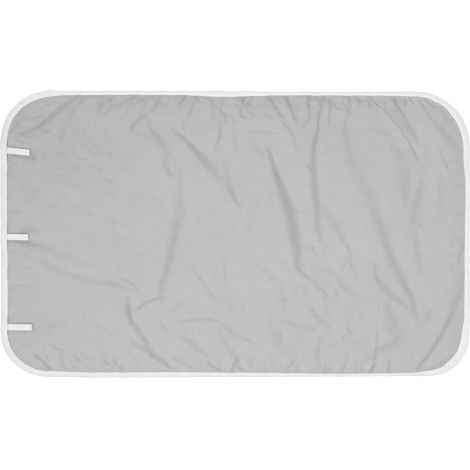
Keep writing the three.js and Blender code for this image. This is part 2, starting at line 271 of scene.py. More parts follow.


# Relief of the face

# Each fold is (slope, half-width, points along it), traced one by one. The face steps down across it,
# on the side away from the light, and levels out again further off. A slope or half-width of
# several numbers changes evenly from one to the next along the fold.
FOLDS = [
    # Long folds of the middle
    ((0.40, 0.55, 0.50, 0.45, 0.42, 0.42, 0.42, 0.34), (3.0, 4.5, 7.0, 10.0, 12.0, 12.5, 10.5, 6.5),
     [(65, 161), (71, 139), (84, 100), (96, 68), (106, 36), (112, 4), (117, -27), (120, -58)]),
    ((0.30, 0.40, 0.50, 0.55, 0.50, 0.45, 0.40, 0.40, 0.42, 0.42, 0.40, 0.34, 0.22),
     (3.0, 3.0, 3.0, 3.2, 4.0, 5.0, 6.5, 7.5, 8.0, 7.0, 6.0, 5.0, 4.0),
     [(170, 263), (166, 242), (162, 231), (159, 208), (156, 186), (151, 167), (150, 144), (150, 128),
      (151, 106), (154, 80), (157, 48), (159, 17), (163, -6)]),
    (0.34, 2.4, [(138, 135), (142, 128), (147, 120)]),
    ((0.19, 0.32, 0.38, 0.42, 0.32, 0.16, 0.09, 0.08, 0.10),
     (2.0, 4.0, 5.5, 6.5, 7.5, 8.0, 7.5, 6.5, 3.5),
     [(-120, 203), (-110, 192), (-94, 180), (-71, 155), (-52, 132), (-37, 116), (-21, 97), (-7, 75),
      (2, 60)]),
    ((0.10, 0.18, 0.21, 0.23, 0.28, 0.20), (3.0, 4.5, 5.0, 4.5, 3.0, 2.0),
     [(-23, 151), (-17, 122), (-12, 97), (-4, 75), (4, 59), (13, 52)]),
    ((0.14, 0.20, 0.24, 0.28, 0.32, 0.36, 0.42, 0.42, 0.36, 0.26),
     (3.0, 7.0, 10.0, 10.5, 9.5, 8.5, 8.0, 7.0, 5.0, 4.0),
     [(-103, 116), (-107, 84), (-107, 52), (-108, 30), (-116, 1), (-121, -28), (-125, -50), (-133, -76),
      (-142, -101), (-141, -122)]),
    (0.22, 3.2, [(-91, -50), (-79, -71), (-63, -90), (-47, -114), (-34, -136)]),
    (0.22, 3.0, [(118, -62), (126, -73), (139, -83), (151, -90)]),
    (0.28, 3.0, [(149, -94), (164, -106), (174, -113), (178, -123)]),
    (0.16, 4.0, [(178, -123), (172, -135), (181, -146)]),
    (0.50, 2.8, [(-135, -123), (-151, -125), (-164, -129), (-176, -135), (-183, -142), (-191, -152)]),
    (0.16, 3.2, [(-97, 50), (-95, 38), (-97, 27)]),
    # Left part
    ((0.30, 0.58, 0.56, 0.46, 0.40, 0.30, 0.22, 0.32, 0.32),
     (2.5, 5.0, 5.0, 4.5, 4.5, 5.0, 6.0, 4.5, 3.5),
     [(-205, -120), (-204, -146), (-199, -168), (-188, -181), (-178, -197), (-168, -213), (-159, -229),
      (-146, -239), (-127, -255)]),
    ((0.20, 0.30, 0.34, 0.30), (2.5, 4.0, 5.0, 5.0),
     [(-206, -196), (-193, -207), (-181, -217), (-160, -227)]),
    ((0.17, 0.16, 0.12, 0.12, 0.12, 0.14, 0.16, 0.20, 0.15),
     (2.5, 4.0, 6.5, 7.5, 6.5, 5.0, 5.0, 4.5, 3.0),
     [(-431, -32), (-402, -41), (-370, -55), (-341, -69), (-309, -80), (-284, -88), (-252, -93),
      (-226, -98), (-204, -106)]),
    ((0.18, 0.13, 0.11, 0.12, 0.06), (4.0, 6.5, 8.0, 7.0, 4.0),
     [(-412, -16), (-370, -23), (-322, -44), (-284, -58), (-258, -67)]),
    ((0.20, 0.28, 0.28, 0.20), (2.2, 2.6, 2.8, 2.5),
     [(-220, -83), (-203, -92), (-190, -102), (-183, -114)]),
    (0.20, 2.8, [(-271, -173), (-252, -183), (-229, -199)]),
    (0.08, 2.4, [(-431, -132), (-419, -133), (-408, -131)]),
    (0.30, 2.2, [(-434, 42), (-420, 42), (-408, 44)]),
    (0.18, 3.0, [(-435, -110), (-423, -104), (-412, -100), (-396, -102), (-383, -108)]),
    (0.17, 2.0, [(-329, 61), (-316, 55), (-300, 48), (-277, 38), (-258, 31), (-249, 29)]),
    (0.20, 2.5, [(-258, 31), (-243, 25), (-224, 19)]),
    (0.06, 4.0, [(-258, 15), (-239, 7), (-212, -12), (-197, -14)]),
    (0.09, 4.0, [(-235, -54), (-224, -65), (-222, -83)]),
    (0.26, 3.0, [(-254, 107), (-243, 102), (-231, 96)]),
    (0.20, 3.0, [(-373, 113), (-362, 98)]),
    (0.16, 5.0, [(-396, 96), (-387, 80), (-377, 65)]),
    (0.12, 5.0, [(-369, -179), (-350, -175), (-335, -171), (-312, -173)]),
    (0.28, 3.0, [(-143, -165), (-137, -177), (-130, -190)]),
    (0.05, 5.0, [(-233, -54), (-225, -12), (-235, 11)]),
    # Upper left corner
    ((0.20, 0.29, 0.34, 0.39, 0.36, 0.31, 0.24, 0.15), (3.0, 4.0, 5.5, 5.5, 5.0, 5.0, 5.0, 4.0),
     [(-300, 263), (-322, 250), (-341, 235), (-357, 219), (-373, 208), (-392, 199), (-408, 192),
      (-421, 186)]),
    ((0.22, 0.25, 0.26, 0.25, 0.14), (3.0, 4.0, 5.5, 6.0, 5.0),
     [(-284, 263), (-306, 242), (-317, 221), (-328, 205), (-332, 180)]),
    ((0.10, 0.14, 0.14, 0.14, 0.10), (2.5, 3.0, 3.5, 4.0, 3.0),
     [(-290, 203), (-277, 177), (-262, 164), (-245, 155), (-220, 150)]),
    (0.11, 6.0, [(-185, 154), (-198, 138), (-216, 119)]),
    (0.36, 2.5, [(-249, 257), (-256, 244), (-260, 232)]),
    (0.30, 2.5, [(-237, 244), (-224, 247), (-210, 251)]),
    (0.17, 2.6, [(-235, 240), (-245, 234), (-252, 226)]),
    (0.20, 3.0, [(-179, 257), (-195, 247), (-204, 242)]),
    (0.44, 4.0, [(-162, 232), (-174, 226), (-185, 219), (-195, 207), (-202, 194)]),
    ((0.25, 0.28, 0.28, 0.25, 0.23, 0.18), (2.5, 4.0, 5.0, 6.5, 8.0, 7.0),
     [(-164, 219), (-162, 203), (-153, 194), (-145, 182), (-137, 169), (-130, 157)]),
    (0.33, 4.0, [(-137, 148), (-133, 132), (-128, 121), (-118, 109)]),
    (0.09, 3.0, [(-300, 180), (-284, 166), (-268, 155), (-256, 145)]),
    (0.30, 2.6, [(-435, 136), (-429, 144), (-421, 151)]),
    (0.22, 3.0, [(-435, 107), (-429, 119), (-421, 128)]),
    (0.12, 3.0, [(-343, 163), (-331, 161), (-320, 161)]),
    (0.16, 4.0, [(-350, 151), (-335, 151), (-323, 157)]),
    # Top edge, left half
    ((0.55, 0.75, 0.75, 0.50), (1.8, 2.2, 2.2, 2.0), [(-28, 203), (-28, 192), (-33, 178), (-37, 165)]),
    (0.32, 3.0, [(-141, 263), (-149, 253), (-156, 244), (-160, 234)]),
    (0.14, 2.4, [(-131, 251), (-147, 245), (-158, 238)]),
    (0.36, 3.0, [(-74, 259), (-82, 245), (-87, 232), (-91, 220)]),
    (0.31, 2.5, [(-74, 265), (-70, 257), (-66, 249)]),
    (0.20, 3.0, [(-99, 228), (-99, 211), (-97, 192)]),
    (0.22, 2.8, [(-47, 265), (-43, 251), (-41, 240), (-45, 228), (-49, 219)]),
    (0.26, 2.2, [(-36, 236), (-39, 226), (-45, 217)]),
    (0.48, 2.2, [(-22, 257), (-26, 244), (-28, 228)]),
    (0.46, 2.2, [(-20, 236), (-18, 222), (-18, 209)]),
    (0.16, 4.0, [(-3, 203), (1, 180), (1, 155)]),
    # Top edge, middle
    (0.65, 2.2, [(34, 263), (28, 255), (22, 245)]),
    (0.60, 2.2, [(22, 263), (16, 255), (14, 247)]),
    (0.56, 3.0, [(12, 247), (11, 236), (14, 226), (24, 220)]),
    (0.32, 2.4, [(22, 240), (30, 232), (37, 226)]),
    (0.12, 5.0, [(30, 176), (43, 163), (55, 148)]),
    (0.14, 3.0, [(20, 199), (39, 196), (59, 196), (87, 192)]),
    (0.44, 3.0, [(68, 261), (74, 249), (80, 240), (87, 228), (99, 220)]),
    (0.44, 3.5, [(99, 267), (103, 251), (108, 238), (116, 222), (122, 209)]),
    (0.42, 2.5, [(141, 263), (141, 247), (143, 234), (143, 222), (137, 213), (128, 203), (118, 201)]),
    (0.26, 2.8, [(85, 219), (95, 209), (105, 199), (112, 188), (116, 174), (122, 157)]),
    (0.20, 2.6, [(57, 234), (66, 226), (76, 222)]),
    (0.38, 2.5, [(183, 253), (183, 238), (181, 222), (183, 203)]),
    (0.22, 2.4, [(231, 263), (241, 255), (254, 257)]),
    # Upper right corner
    (0.17, 9.0, [(290, 246), (298, 237), (318, 215), (337, 192), (350, 173)]),
    ((0.22, 0.24, 0.24, 0.22, 0.18, 0.12), (3.0, 3.0, 3.5, 4.5, 6.5, 9.0),
     [(352, 263), (359, 247), (372, 228), (388, 208), (404, 189), (416, 174)]),
    ((0.10, 0.17, 0.18, 0.16, 0.10), (9.0, 14.0, 12.0, 9.0, 6.0),
     [(308, 161), (319, 138), (323, 107), (325, 75), (327, 46)]),
    ((0.20, 0.26, 0.26, 0.18), (5.0, 7.0, 7.5, 6.0), [(358, 96), (351, 71), (345, 48), (340, 29)]),
    (0.08, 2.4, [(396, 244), (407, 228), (416, 213), (424, 198)]),
    (0.52, 1.4, [(258, 265), (266, 255), (279, 244), (291, 232), (304, 217), (316, 203), (325, 188),
                 (335, 174), (343, 159), (350, 144), (358, 130), (366, 119)]),
    (0.36, 4.0, [(304, 257), (312, 244), (320, 234), (327, 222), (329, 215)]),
    (0.14, 4.0, [(331, 217), (337, 205), (343, 194), (350, 182), (350, 169)]),
    (0.22, 2.0, [(318, 263), (323, 255), (331, 251)]),
    (0.42, 2.0, [(333, 263), (339, 255), (344, 247)]),
    (0.32, 2.0, [(364, 259), (371, 253), (381, 245)]),
    (0.22, 1.7, [(385, 176), (392, 163), (396, 149), (402, 138), (408, 125), (415, 109)]),
    (0.15, 3.5, [(249, 209), (264, 201), (275, 196), (289, 192), (304, 184)]),
    (0.16, 3.0, [(272, 244), (273, 226), (273, 211)]),
    (0.08, 7.0, [(394, 113), (396, 75), (394, 36)]),
    (0.09, 7.0, [(333, 171), (343, 146), (350, 126)]),
    # Right part
    ((0.26, 0.22, 0.26, 0.22, 0.16, 0.14, 0.11, 0.12, 0.14, 0.17, 0.20, 0.22, 0.22, 0.22, 0.22, 0.24,
      0.30, 0.34, 0.30, 0.20),
     (3.0, 4.0, 3.5, 4.5, 8.0, 9.0, 10.0, 14.0, 14.0, 13.0, 12.0, 10.5, 9.0, 8.0, 7.5, 7.0,
      6.5, 6.0, 5.5, 4.0),
     [(220, 256), (219, 240), (214, 221), (210, 202), (215, 180), (218, 160), (225, 135), (241, 106),
      (252, 80), (263, 52), (273, 29), (283, 4), (289, -15), (295, -34), (306, -58), (316, -77),
      (327, -100), (339, -123), (345, -146), (348, -157)]),
    ((0.24, 0.30, 0.28, 0.26, 0.24, 0.18), (2.5, 4.0, 6.5, 6.5, 5.5, 4.5),
     [(268, -60), (271, -85), (281, -98), (298, -115), (319, -132), (337, -144)]),
    (0.20, 8.0, [(174, 42), (190, 20), (204, -4), (213, -20)]),
    (0.14, 5.0, [(183, -75), (199, -85), (212, -104), (216, -131)]),
    (0.18, 1.6, [(275, -96), (275, -136), (273, -177)]),
    (0.36, 1.8, [(273, -173), (272, -204), (270, -227), (266, -250), (262, -263)]),
    (0.29, 3.2, [(208, -12), (218, -27), (222, -42), (222, -56), (225, -71)]),
    (0.12, 2.5, [(341, 32), (352, 21), (362, 7), (369, 0)]),
    (0.16, 6.0, [(343, 17), (348, -21), (352, -60), (350, -83)]),
    (0.15, 3.0, [(164, 59), (170, 48), (170, 40)]),
    (0.44, 2.5, [(147, -23), (153, -35), (160, -42)]),
    (0.16, 2.5, [(172, -23), (170, -35), (164, -39)]),
    (0.14, 3.0, [(162, -65), (176, -69), (187, -79)]),
    (0.18, 2.0, [(437, -21), (429, -31), (421, -39), (410, -52)]),
    (0.50, 1.8, [(438, -29), (433, -39), (427, -50)]),
    (0.07, 6.0, [(364, 59), (379, 61), (391, 67)]),
    (0.06, 6.0, [(367, -2), (383, -12), (396, -17)]),
    (0.08, 4.0, [(410, -54), (417, -65), (429, -73)]),
    # Lower right corner
    ((0.14, 0.19, 0.26, 0.40, 0.46, 0.42, 0.36), (7.0, 7.0, 5.5, 3.6, 3.2, 3.6, 4.0),
     [(433, -104), (426, -127), (415, -154), (402, -181), (389, -205), (373, -229), (352, -255)]),
    ((0.14, 0.20, 0.22, 0.12), (8.0, 13.0, 14.0, 9.0),
     [(293, -142), (300, -169), (308, -196), (295, -215)]),
    ((0.16, 0.26, 0.26, 0.20, 0.14), (6.0, 8.0, 8.0, 6.0, 4.0),
     [(310, -200), (295, -214), (277, -224), (260, -236), (243, -246)]),
    (0.16, 6.0, [(344, -185), (358, -169), (367, -161), (380, -152)]),
    (0.32, 2.2, [(417, -234), (404, -242), (391, -250), (377, -259)]),
    (0.16, 3.0, [(364, -140), (375, -146), (383, -152)]),
    (0.32, 2.4, [(220, -227), (216, -240), (210, -252), (206, -263)]),
    (0.24, 3.0, [(224, -173), (218, -186), (210, -196), (204, -207)]),
    (0.16, 3.0, [(212, -144), (214, -165), (216, -184)]),
    (0.24, 2.4, [(233, -244), (231, -253), (233, -263)]),
    (0.12, 2.4, [(245, -242), (243, -253), (245, -263)]),
    # Bottom edge and lower middle
    ((0.18, 0.20, 0.22, 0.24), (2.5, 4.5, 6.0, 4.5), [(-30, -186), (-22, -203), (-14, -216), (2, -234)]),
    ((0.10, 0.17, 0.17, 0.08), (6.0, 10.0, 10.0, 6.0),
     [(70, -176), (80, -196), (88, -213), (101, -228)]),
    (0.32, 3.2, [(-114, -173), (-99, -169), (-85, -165), (-70, -163), (-51, -163), (-34, -165)]),
    (0.26, 3.2, [(-37, -163), (-24, -173), (-14, -182), (-5, -190), (7, -198), (22, -202), (34, -206),
                 (45, -209)]),
    (0.28, 4.0, [(-112, -190), (-97, -200), (-85, -207), (-74, -217), (-60, -227), (-51, -238),
                 (-45, -246)]),
    (0.60, 2.5, [(-55, -244), (-43, -253), (-32, -261)]),
    (0.48, 2.4, [(3, -240), (9, -253), (16, -263)]),
    (0.50, 2.2, [(3, -242), (-3, -253), (-5, -265)]),
    (0.30, 2.8, [(-124, -234), (-107, -242), (-93, -250), (-80, -259)]),
    (0.15, 2.5, [(-130, -252), (-112, -261)]),
    (0.14, 3.0, [(-30, -119), (-18, -131), (-7, -142), (1, -152)]),
    (0.20, 4.0, [(-91, -125), (-105, -136), (-116, -144), (-131, -150)]),
    (0.22, 3.0, [(-24, -39), (-20, -54), (-18, -77), (-18, -104)]),
    (0.14, 3.0, [(-7, -58), (-5, -88)]),
    (0.20, 2.5, [(89, -87), (91, -108), (93, -123), (101, -140)]),
    (0.13, 2.5, [(76, -144), (70, -159), (68, -177)]),
    (0.11, 2.5, [(87, -188), (89, -211)]),
    (0.20, 3.0, [(112, -217), (118, -230), (112, -244), (103, -255)]),
    (0.16, 3.0, [(68, -221), (70, -242), (78, -261)]),
    (0.27, 3.5, [(139, -131), (147, -144), (153, -154), (162, -163), (174, -173), (189, -182)]),
    (0.22, 4.0, [(89, -169), (110, -171), (126, -177), (141, -181), (158, -186)]),
    (0.24, 5.0, [(162, -209), (158, -227), (154, -246)]),
    (0.44, 2.2, [(174, -248), (172, -265)]),
    (0.16, 4.0, [(30, 25), (24, 7)]),
    # Lower left corner
    (0.64, 2.8, [(-389, -227), (-377, -236), (-367, -246), (-358, -255), (-348, -265)]),
    (0.34, 2.8, [(-333, -223), (-333, -238), (-329, -250), (-323, -259)]),
    (0.26, 3.2, [(-356, -209), (-344, -219), (-335, -223), (-323, -229)]),
    (0.18, 3.0, [(-316, -230), (-302, -240), (-293, -248), (-281, -257)]),
    (0.20, 3.0, [(-298, -229), (-283, -238), (-270, -244)]),
    (0.22, 2.8, [(-233, -225), (-233, -238), (-229, -246), (-220, -255)]),
    (0.16, 6.0, [(-404, -209), (-392, -223)]),
    (0.18, 2.6, [(-366, -232), (-350, -238), (-339, -246)]),
]
# Each dent is written as a fold is, but sinks on both sides of its line.
DENTS = [
    (0.70, 2.0, [(-433, 169), (-421, 167), (-408, 165), (-387, 161)]),
    (0.90, 2.3, [(-428, 153), (-414, 151), (-398, 149), (-386, 145)]),
    (0.60, 3.2, [(-387, 158), (-385, 150), (-386, 142)]),
    (0.55, 2.2, [(-433, 2), (-421, 2), (-408, 2), (-394, 2)]),
    (0.80, 3.0, [(-433, -12), (-421, -12), (-408, -13), (-389, -14)]),
    (0.50, 4.5, [(-412, 5), (-398, 8), (-384, 9), (-372, 9)]),
    (0.30, 4.0, [(-404, -16), (-387, -19), (-369, -21), (-354, -25)]),
    (0.60, 2.0, [(-427, -170), (-408, -169), (-387, -170)]),
    (0.50, 2.4, [(-385, -167), (-385, -179), (-387, -184)]),
    (0.40, 2.0, [(-433, -186), (-412, -186), (-389, -186)]),
]
# Fine crinkles are scattered over zones: (how many, middle, half-size, direction in degrees, how far
# the direction strays, longest, steepest).
CRINKLE_ZONES = [
    (80, (-330, 110), (100, 90), -38, 26, 46, 0.13),
    (16, (-395, 215), (36, 30), 35, 18, 44, 0.22),
    (36, (-150, 250), (160, 12), 65, 18, 24, 0.28),
    (36, (170, 250), (160, 12), 115, 18, 24, 0.28),
    (26, (-415, 10), (22, 190), 10, 30, 30, 0.20),
    (22, (-260, -248), (140, 14), 130, 20, 26, 0.32),
    (30, (120, -248), (220, 12), 85, 20, 20, 0.34),
    (20, (420, 30), (18, 200), 60, 40, 26, 0.13),
    (46, (170, -130), (75, 80), -50, 60, 34, 0.22),
    (40, (-60, -60), (150, 120), -60, 60, 40, 0.10),
    (420, (0, 0), (430, 255), -60, 60, 46, 0.11),
]
CRINKLE_SEED = 31
CRINKLE_WIDTHS = (1.5, 3.0)
# Least and greatest share of its zone's longest and steepest that a crinkle has, and how it bends.
CRINKLE_SHARES = (0.3, 1.0)
CRINKLE_BEND = 0.2
# Depth of a fold for its slope, and softness of its edges for its width.
FOLD_GAIN = 0.75
FOLD_EDGE = 0.45
# Folds stray from their lines and the shade painted along them is uneven, by these waves.
WANDER_WAVES, WANDER_SEEDS, FOLD_WANDER = (10, 40, 24), (5, 6), 0.6
TONE_WAVES, FOLD_UNEVENNESS = (8, 24, 30, 7), 0.2
# Towards the far lamp, seen from above, and how much more painted shade a fold gets that runs that way.
LIGHT_SIDE = np.array([-0.75, -0.66])
ALONG_LIGHT_TONE = 0.6
DENT_ROUNDING = 0.9
# How far beside a fold the face levels out, in half-widths and at most in length, and how many
# such tails of a fold, or half-widths of a dent, are worked out.
TAIL_SHARE = 6.0
LONGEST_TAIL = 40.0
FOLD_REACH, DENT_REACH = 3, 5
# How a fold that ends on the open face fades: over which share of it, and to which depth and width.
END_SHARE = 0.22
END_DEPTH = 0.25
END_WIDTH = 0.5
END_ROUNDING = 2.0
OPEN_END_DEPTH = 24.0
LINE_STEPS = 5


def spline(points, per_span=LINE_STEPS):
    """A smooth line through a few points."""
    knots = np.asarray(points, float)
    padded = np.concatenate([2 * knots[:1] - knots[1:2], knots, 2 * knots[-1:] - knots[-2:-1]])
    t = np.linspace(0, 1, per_span, endpoint=False)[:, None]
    spans = []
    for a, b, c, d in zip(padded, padded[1:], padded[2:], padded[3:]):
        spans.append(0.5 * (2 * b + (c - a) * t + (2 * a - 5 * b + 4 * c - d) * t ** 2
                            + (3 * b - a - 3 * c + d) * t ** 3))
    return np.concatenate([*spans, knots[-1:]])


def place_by_line(x, y, line):
    """Where each point lies by a line of many short stretches: how far to its left, how far
    past its end, and its share along it."""
    nearest = np.full(x.shape, np.inf)
    left, past, share = np.zeros(x.shape), np.zeros(x.shape), np.zeros(x.shape)
    steps = np.diff(line, axis=0)
    lengths = np.linalg.norm(steps, axis=1)
    before = np.concatenate([[0], np.cumsum(lengths)])
    for i, (start, step) in enumerate(zip(line, steps / lengths[:, None])):
        dx, dy = x - start[0], y - start[1]
        run = dx * step[0] + dy * step[1]
        aside = dy * step[0] - dx * step[1]
        over = run - np.clip(run, 0, lengths[i])
        away = np.hypot(aside, over)
        nearer = away < nearest
        nearest = np.where(nearer, away, nearest)
        left = np.where(nearer, aside, left)
        past = np.where(nearer, np.abs(over), past)
        share = np.where(nearer, (before[i] + np.clip(run, 0, lengths[i])) / before[-1], share)
    return left, past, share


def end_taper(share, first, last):
    """Fades a fold at both ends, but not where it runs under the binding."""
    taper = np.ones(share.shape)
    for along_from_end, point in ((share, first), (1 - share, last)):
        if outline_depth(*point) > OPEN_END_DEPTH:
            taper *= END_DEPTH + (1 - END_DEPTH) * smooth_step(along_from_end / END_SHARE)
    return taper


def nearby(x, y, line, reach):
    """Which points lie in the box round a line."""
    low, high = line.min(axis=0) - reach, line.max(axis=0) + reach
    return (x > low[0]) & (x < high[0]) & (y > low[1]) & (y < high[1])


def varied(values, share):
    """A value that changes evenly along a fold."""
    values = np.atleast_1d(values)
    return np.interp(share, np.linspace(0, 1, len(values)), values)


def log_cosh(value):
    return np.logaddexp(value, -value)


def crinkles():
    """Short slightly bent folds in the crinkled zones."""
    rng = np.random.default_rng(CRINKLE_SEED)
    made = []
    for count, middle, half_size, heading, stray, longest, steepest in CRINKLE_ZONES:
        for _ in range(count):
            centre = np.array(middle) + rng.uniform(-1, 1, 2) * half_size
            run = direction(heading + rng.normal(0, stray)) * rng.uniform(*CRINKLE_SHARES) * longest / 2
            bend = np.array([-run[1], run[0]]) * rng.normal(0, CRINKLE_BEND)
            slope = rng.uniform(*CRINKLE_SHARES) * steepest
            width = rng.uniform(*CRINKLE_WIDTHS)
            made.append((slope, width, [centre - run, centre + bend, centre + run]))
    return made


def fold_relief(x, y):
    """How far the folds raise or sink the face, and how much shade is painted on each place for them."""
    height, painted_shade = np.zeros(x.shape), np.zeros(x.shape)
    uneven = 1 + FOLD_UNEVENNESS * waves(x, y, *TONE_WAVES)
    stray_x, stray_y = [FOLD_WANDER * waves(x, y, *WANDER_WAVES, seed) for seed in WANDER_SEEDS]
    x, y = x + stray_x, y + stray_y
    for slope, half_width, points in FOLDS + crinkles():
        line = spline(points)
        tail = min(TAIL_SHARE * np.max(half_width), LONGEST_TAIL)
        near = nearby(x, y, line, FOLD_REACH * tail)
        left, past, share = place_by_line(x[near], y[near], line)
        run = (line[-1] - line[0]) / np.linalg.norm(line[-1] - line[0])
        facing = LIGHT_SIDE @ (-run[1], run[0])
        side = left if facing > 0 else -left
        taper = end_taper(share, line[0], line[-1]) if np.isscalar(slope) else 1.0
        width = varied(half_width, share) * (END_WIDTH + (1 - END_WIDTH) * taper)
        strength = varied(slope, share) * taper * np.exp(-(past / (END_ROUNDING * width)) ** 2)
        before, after = (side / width + 1) / FOLD_EDGE, (side / width - 1) / FOLD_EDGE
        step = FOLD_EDGE / 2 * (log_cosh(before) - log_cosh(after)) * np.exp(-np.abs(side) / tail)
        height[near] += FOLD_GAIN * width * strength * step
        # Shade painted along the fold, more where the fold runs towards the lamp and casts no shade of
        # its own.
        tone = uneven[near] * (1 + ALONG_LIGHT_TONE * (1 - abs(facing)) ** 2)
        painted_shade[near] += tone * strength * (np.tanh(before) - np.tanh(after)) / 2
    return height, painted_shade


def dent_relief(x, y):
    """How far the dents sink the face, and how strongly each place is dented."""
    depth, dented = np.zeros(x.shape), np.zeros(x.shape)
    for slope, half_width, points in DENTS:
        line = spline(points)
        near = nearby(x, y, line, DENT_REACH * half_width)
        left, past, share = place_by_line(x[near], y[near], line)
        away = np.hypot(np.hypot(left, past), DENT_ROUNDING)
        strength = slope * end_taper(share, line[0], line[-1]) * np.exp(-away / half_width)
        depth[near] += half_width * strength
        dented[near] += strength
    return depth, dented


def waves(x, y, shortest, longest, count, seed):
    """Gentle unevenness: a sum of plane waves in all directions, about one unit high."""
    rng = np.random.default_rng(seed)
    total = np.zeros(x.shape)
    for _ in range(count):
        angle, phase = rng.uniform(0, 2 * math.pi, 2)
        length = rng.uniform(shortest, longest)
        total += np.sin(2 * math.pi * (x * math.cos(angle) + y * math.sin(angle)) / length + phase)
    return total / math.sqrt(count)


PUCKER_SEED = 11
PUCKER_SPACING = 9.0
PUCKER_ZONE = 60.0
PUCKER_WIDTHS = (1.6, 3.2)
PUCKER_LENGTHS, PUCKER_STRETCHES = (3, 12), (1, 1, 2)
PUCKER_DEPTHS = (0.0, 0.75)
PUCKER_LEAN = 0.4
PUCKER_ROUNDING = 0.6


def pucker_depth(along, inside):
    """Small gathers that run in from the seam, where the binding holds the face short."""
    rng = np.random.default_rng(PUCKER_SEED)
    near = inside < PUCKER_ZONE
    along_near, inside_near = along[near], np.maximum(inside[near], 0)
    total = np.zeros(along_near.shape)
    for centre in np.arange(0, AROUND, PUCKER_SPACING):
        centre = centre + rng.uniform(-0.5, 0.5) * PUCKER_SPACING
        width = rng.uniform(*PUCKER_WIDTHS)
        length = rng.uniform(*PUCKER_LENGTHS) * rng.choice(PUCKER_STRETCHES)
        depth = rng.uniform(*PUCKER_DEPTHS)
        lean = rng.normal(0, PUCKER_LEAN)
        away = (along_near - centre - lean * inside_near + AROUND / 2) % AROUND - AROUND / 2
        across = np.hypot(away, PUCKER_ROUNDING) / width
        total += depth * np.exp(-across) * np.exp(-inside_near / length)
    full = np.zeros(along.shape)
    full[near] = total
    return full


# Length in which the face rises from the seam to its full height, by side of the pad.
CROWN_LENGTHS = {"left": 25.0, "right": 50.0, "lower": 30.0, "upper": 56.0}
# How much shade is painted on the face in the crease along the tape.
SEAM_SHADES = {"left": 0.30, "right": 0.35, "lower": 0.25, "upper": 0.36}
SEAM_SHADE_LENGTH = 2.2
# How far each way from a corner's diagonal one side's value gives way to the next side's.
SIDE_TURN = 100.0


def by_side(x, y, values):
    """The value that belongs to the side nearest to each point, changing evenly at the corners."""
    nearer = (np.abs(x) - HALF_LENGTH) - (np.abs(y) - HALF_WIDTH)
    sideways = smooth_step(0.5 + nearer / (2 * SIDE_TURN))
    across = np.where(x > 0, values["right"], values["left"])
    upward = np.where(y > 0, values["upper"], values["lower"])
    return sideways * across + (1 - sideways) * upward


def loop_shadow(x, y, margin):
    """From 0 to 1 where a point lies under a loop or within a margin of it."""
    total = np.zeros(x.shape)
    for loop in LOOPS.values():
        c, s = math.cos(loop["tilt"]), math.sin(loop["tilt"])
        out = (x - loop["x"]) * c + (y - loop["y"]) * s
        across = np.abs((y - loop["y"]) * c - (x - loop["x"]) * s)
        beyond = np.maximum(np.maximum(out - loop["reach"], -out), across - TAPE_WIDTH / 2)
        total = np.maximum(total, smooth_step(1 - beyond / margin))
    return total


def back_bottom(x, y):
    """Height of the underside, which lies flat but for the rise to the seam."""
    inside = outline_depth(x, y) - BINDING_WIDTH
    return SEWN_BACK_BOTTOM * (1 - np.clip(inside / BACK_DROP_LENGTH, 0, 1))


LOOP_MARGIN = 12.0
LONG_WAVES, LONG_UNEVENNESS = (60, 160, 24, 3), 0.35
SHORT_WAVES, SHORT_UNEVENNESS = (18, 45, 30, 4), 0.14
LEAST_PADDING = 0.3
LEAST_LAYERS = 2 * FABRIC_THICKNESS + 2 * LAYER_GAP + LEAST_PADDING
# Measured inward from the tape's inner edge: where the seam squeezes the face, where puckers
# begin, and how soon folds and settling come in.
SEAM_SQUEEZE, SQUEEZE_START, SQUEEZE_LENGTH = 0.25, -0.5, 2.0
PUCKER_START, PUCKER_RISE = -1.0, 3.0
SEAM_FADE = 6.0
# Shade painted in puckers and dents for their depth, and the least and greatest painted shade of all.
PUCKER_SHADE, DENT_SHADE = 0.4, 1.6
LEAST_PAINTED_SHADE, MOST_PAINTED_SHADE = -0.2, 1.2
# Patches of painted shade on the face, or below 0 of painted light: middle, radius, and how dark.
PAINTED_SHADE_PATCHES = [((-350, 160), 125.0, 0.19), ((180, -170), 110.0, 0.09), ((340, -150), 100.0, 0.05),
                ((400, 220), 80.0, -0.17), ((450, 10), 100.0, -0.12)]


def patch_shade(x, y):
    """How much shade, or below 0 light, the patches paint on the face at each point."""
    total = np.zeros(x.shape)
    for middle, radius, depth in PAINTED_SHADE_PATCHES:
        total += depth * np.exp(-((x - middle[0]) ** 2 + (y - middle[1]) ** 2) / radius ** 2)
    return total


def face_top(x, y):
    """Height of the face, crowned over the padding, with folds and puckers, and held down at the seam,
    and how much shade and light is painted on each place of it."""
    inside = inside_seam(x, y)
    swell = 1 - np.exp(-np.maximum(inside, 0) / by_side(x, y, CROWN_LENGTHS))
    level = SEWN_FACE_TOP + (FULL_FACE_TOP - SEWN_FACE_TOP) * swell
    squeezed = SEAM_SQUEEZE * smooth_step(1 - (inside - SQUEEZE_START) / SQUEEZE_LENGTH)
    clear = smooth_step(inside / SEAM_FADE)
    uneven = LONG_UNEVENNESS * waves(x, y, *LONG_WAVES) + SHORT_UNEVENNESS * waves(x, y, *SHORT_WAVES)
    uneven = uneven * (1 - loop_shadow(x, y, LOOP_MARGIN))
    fold_height, painted_shade = fold_relief(x, y)
    dent_depth, dented = dent_relief(x, y)
    puckers = pucker_depth(outline_position(x, y), inside)
    puckers = smooth_step((inside - PUCKER_START) / PUCKER_RISE) * puckers
    relief = swell * uneven + clear * (fold_height - dent_depth) - puckers - squeezed
    # Shade is painted in the seam's crease, folds, dents and puckers, and shade or light in patches.
    seam = by_side(x, y, SEAM_SHADES) * np.exp(-np.maximum(inside, 0) / SEAM_SHADE_LENGTH)
    painted_light_and_shade = painted_shade + DENT_SHADE * dented + seam + PUCKER_SHADE * puckers + patch_shade(x, y)
    painted_light_and_shade = np.clip(painted_light_and_shade, LEAST_PAINTED_SHADE, MOST_PAINTED_SHADE)
    return np.maximum(level + relief, back_bottom(x, y) + LEAST_LAYERS), painted_light_and_shade


# Mesh helpers

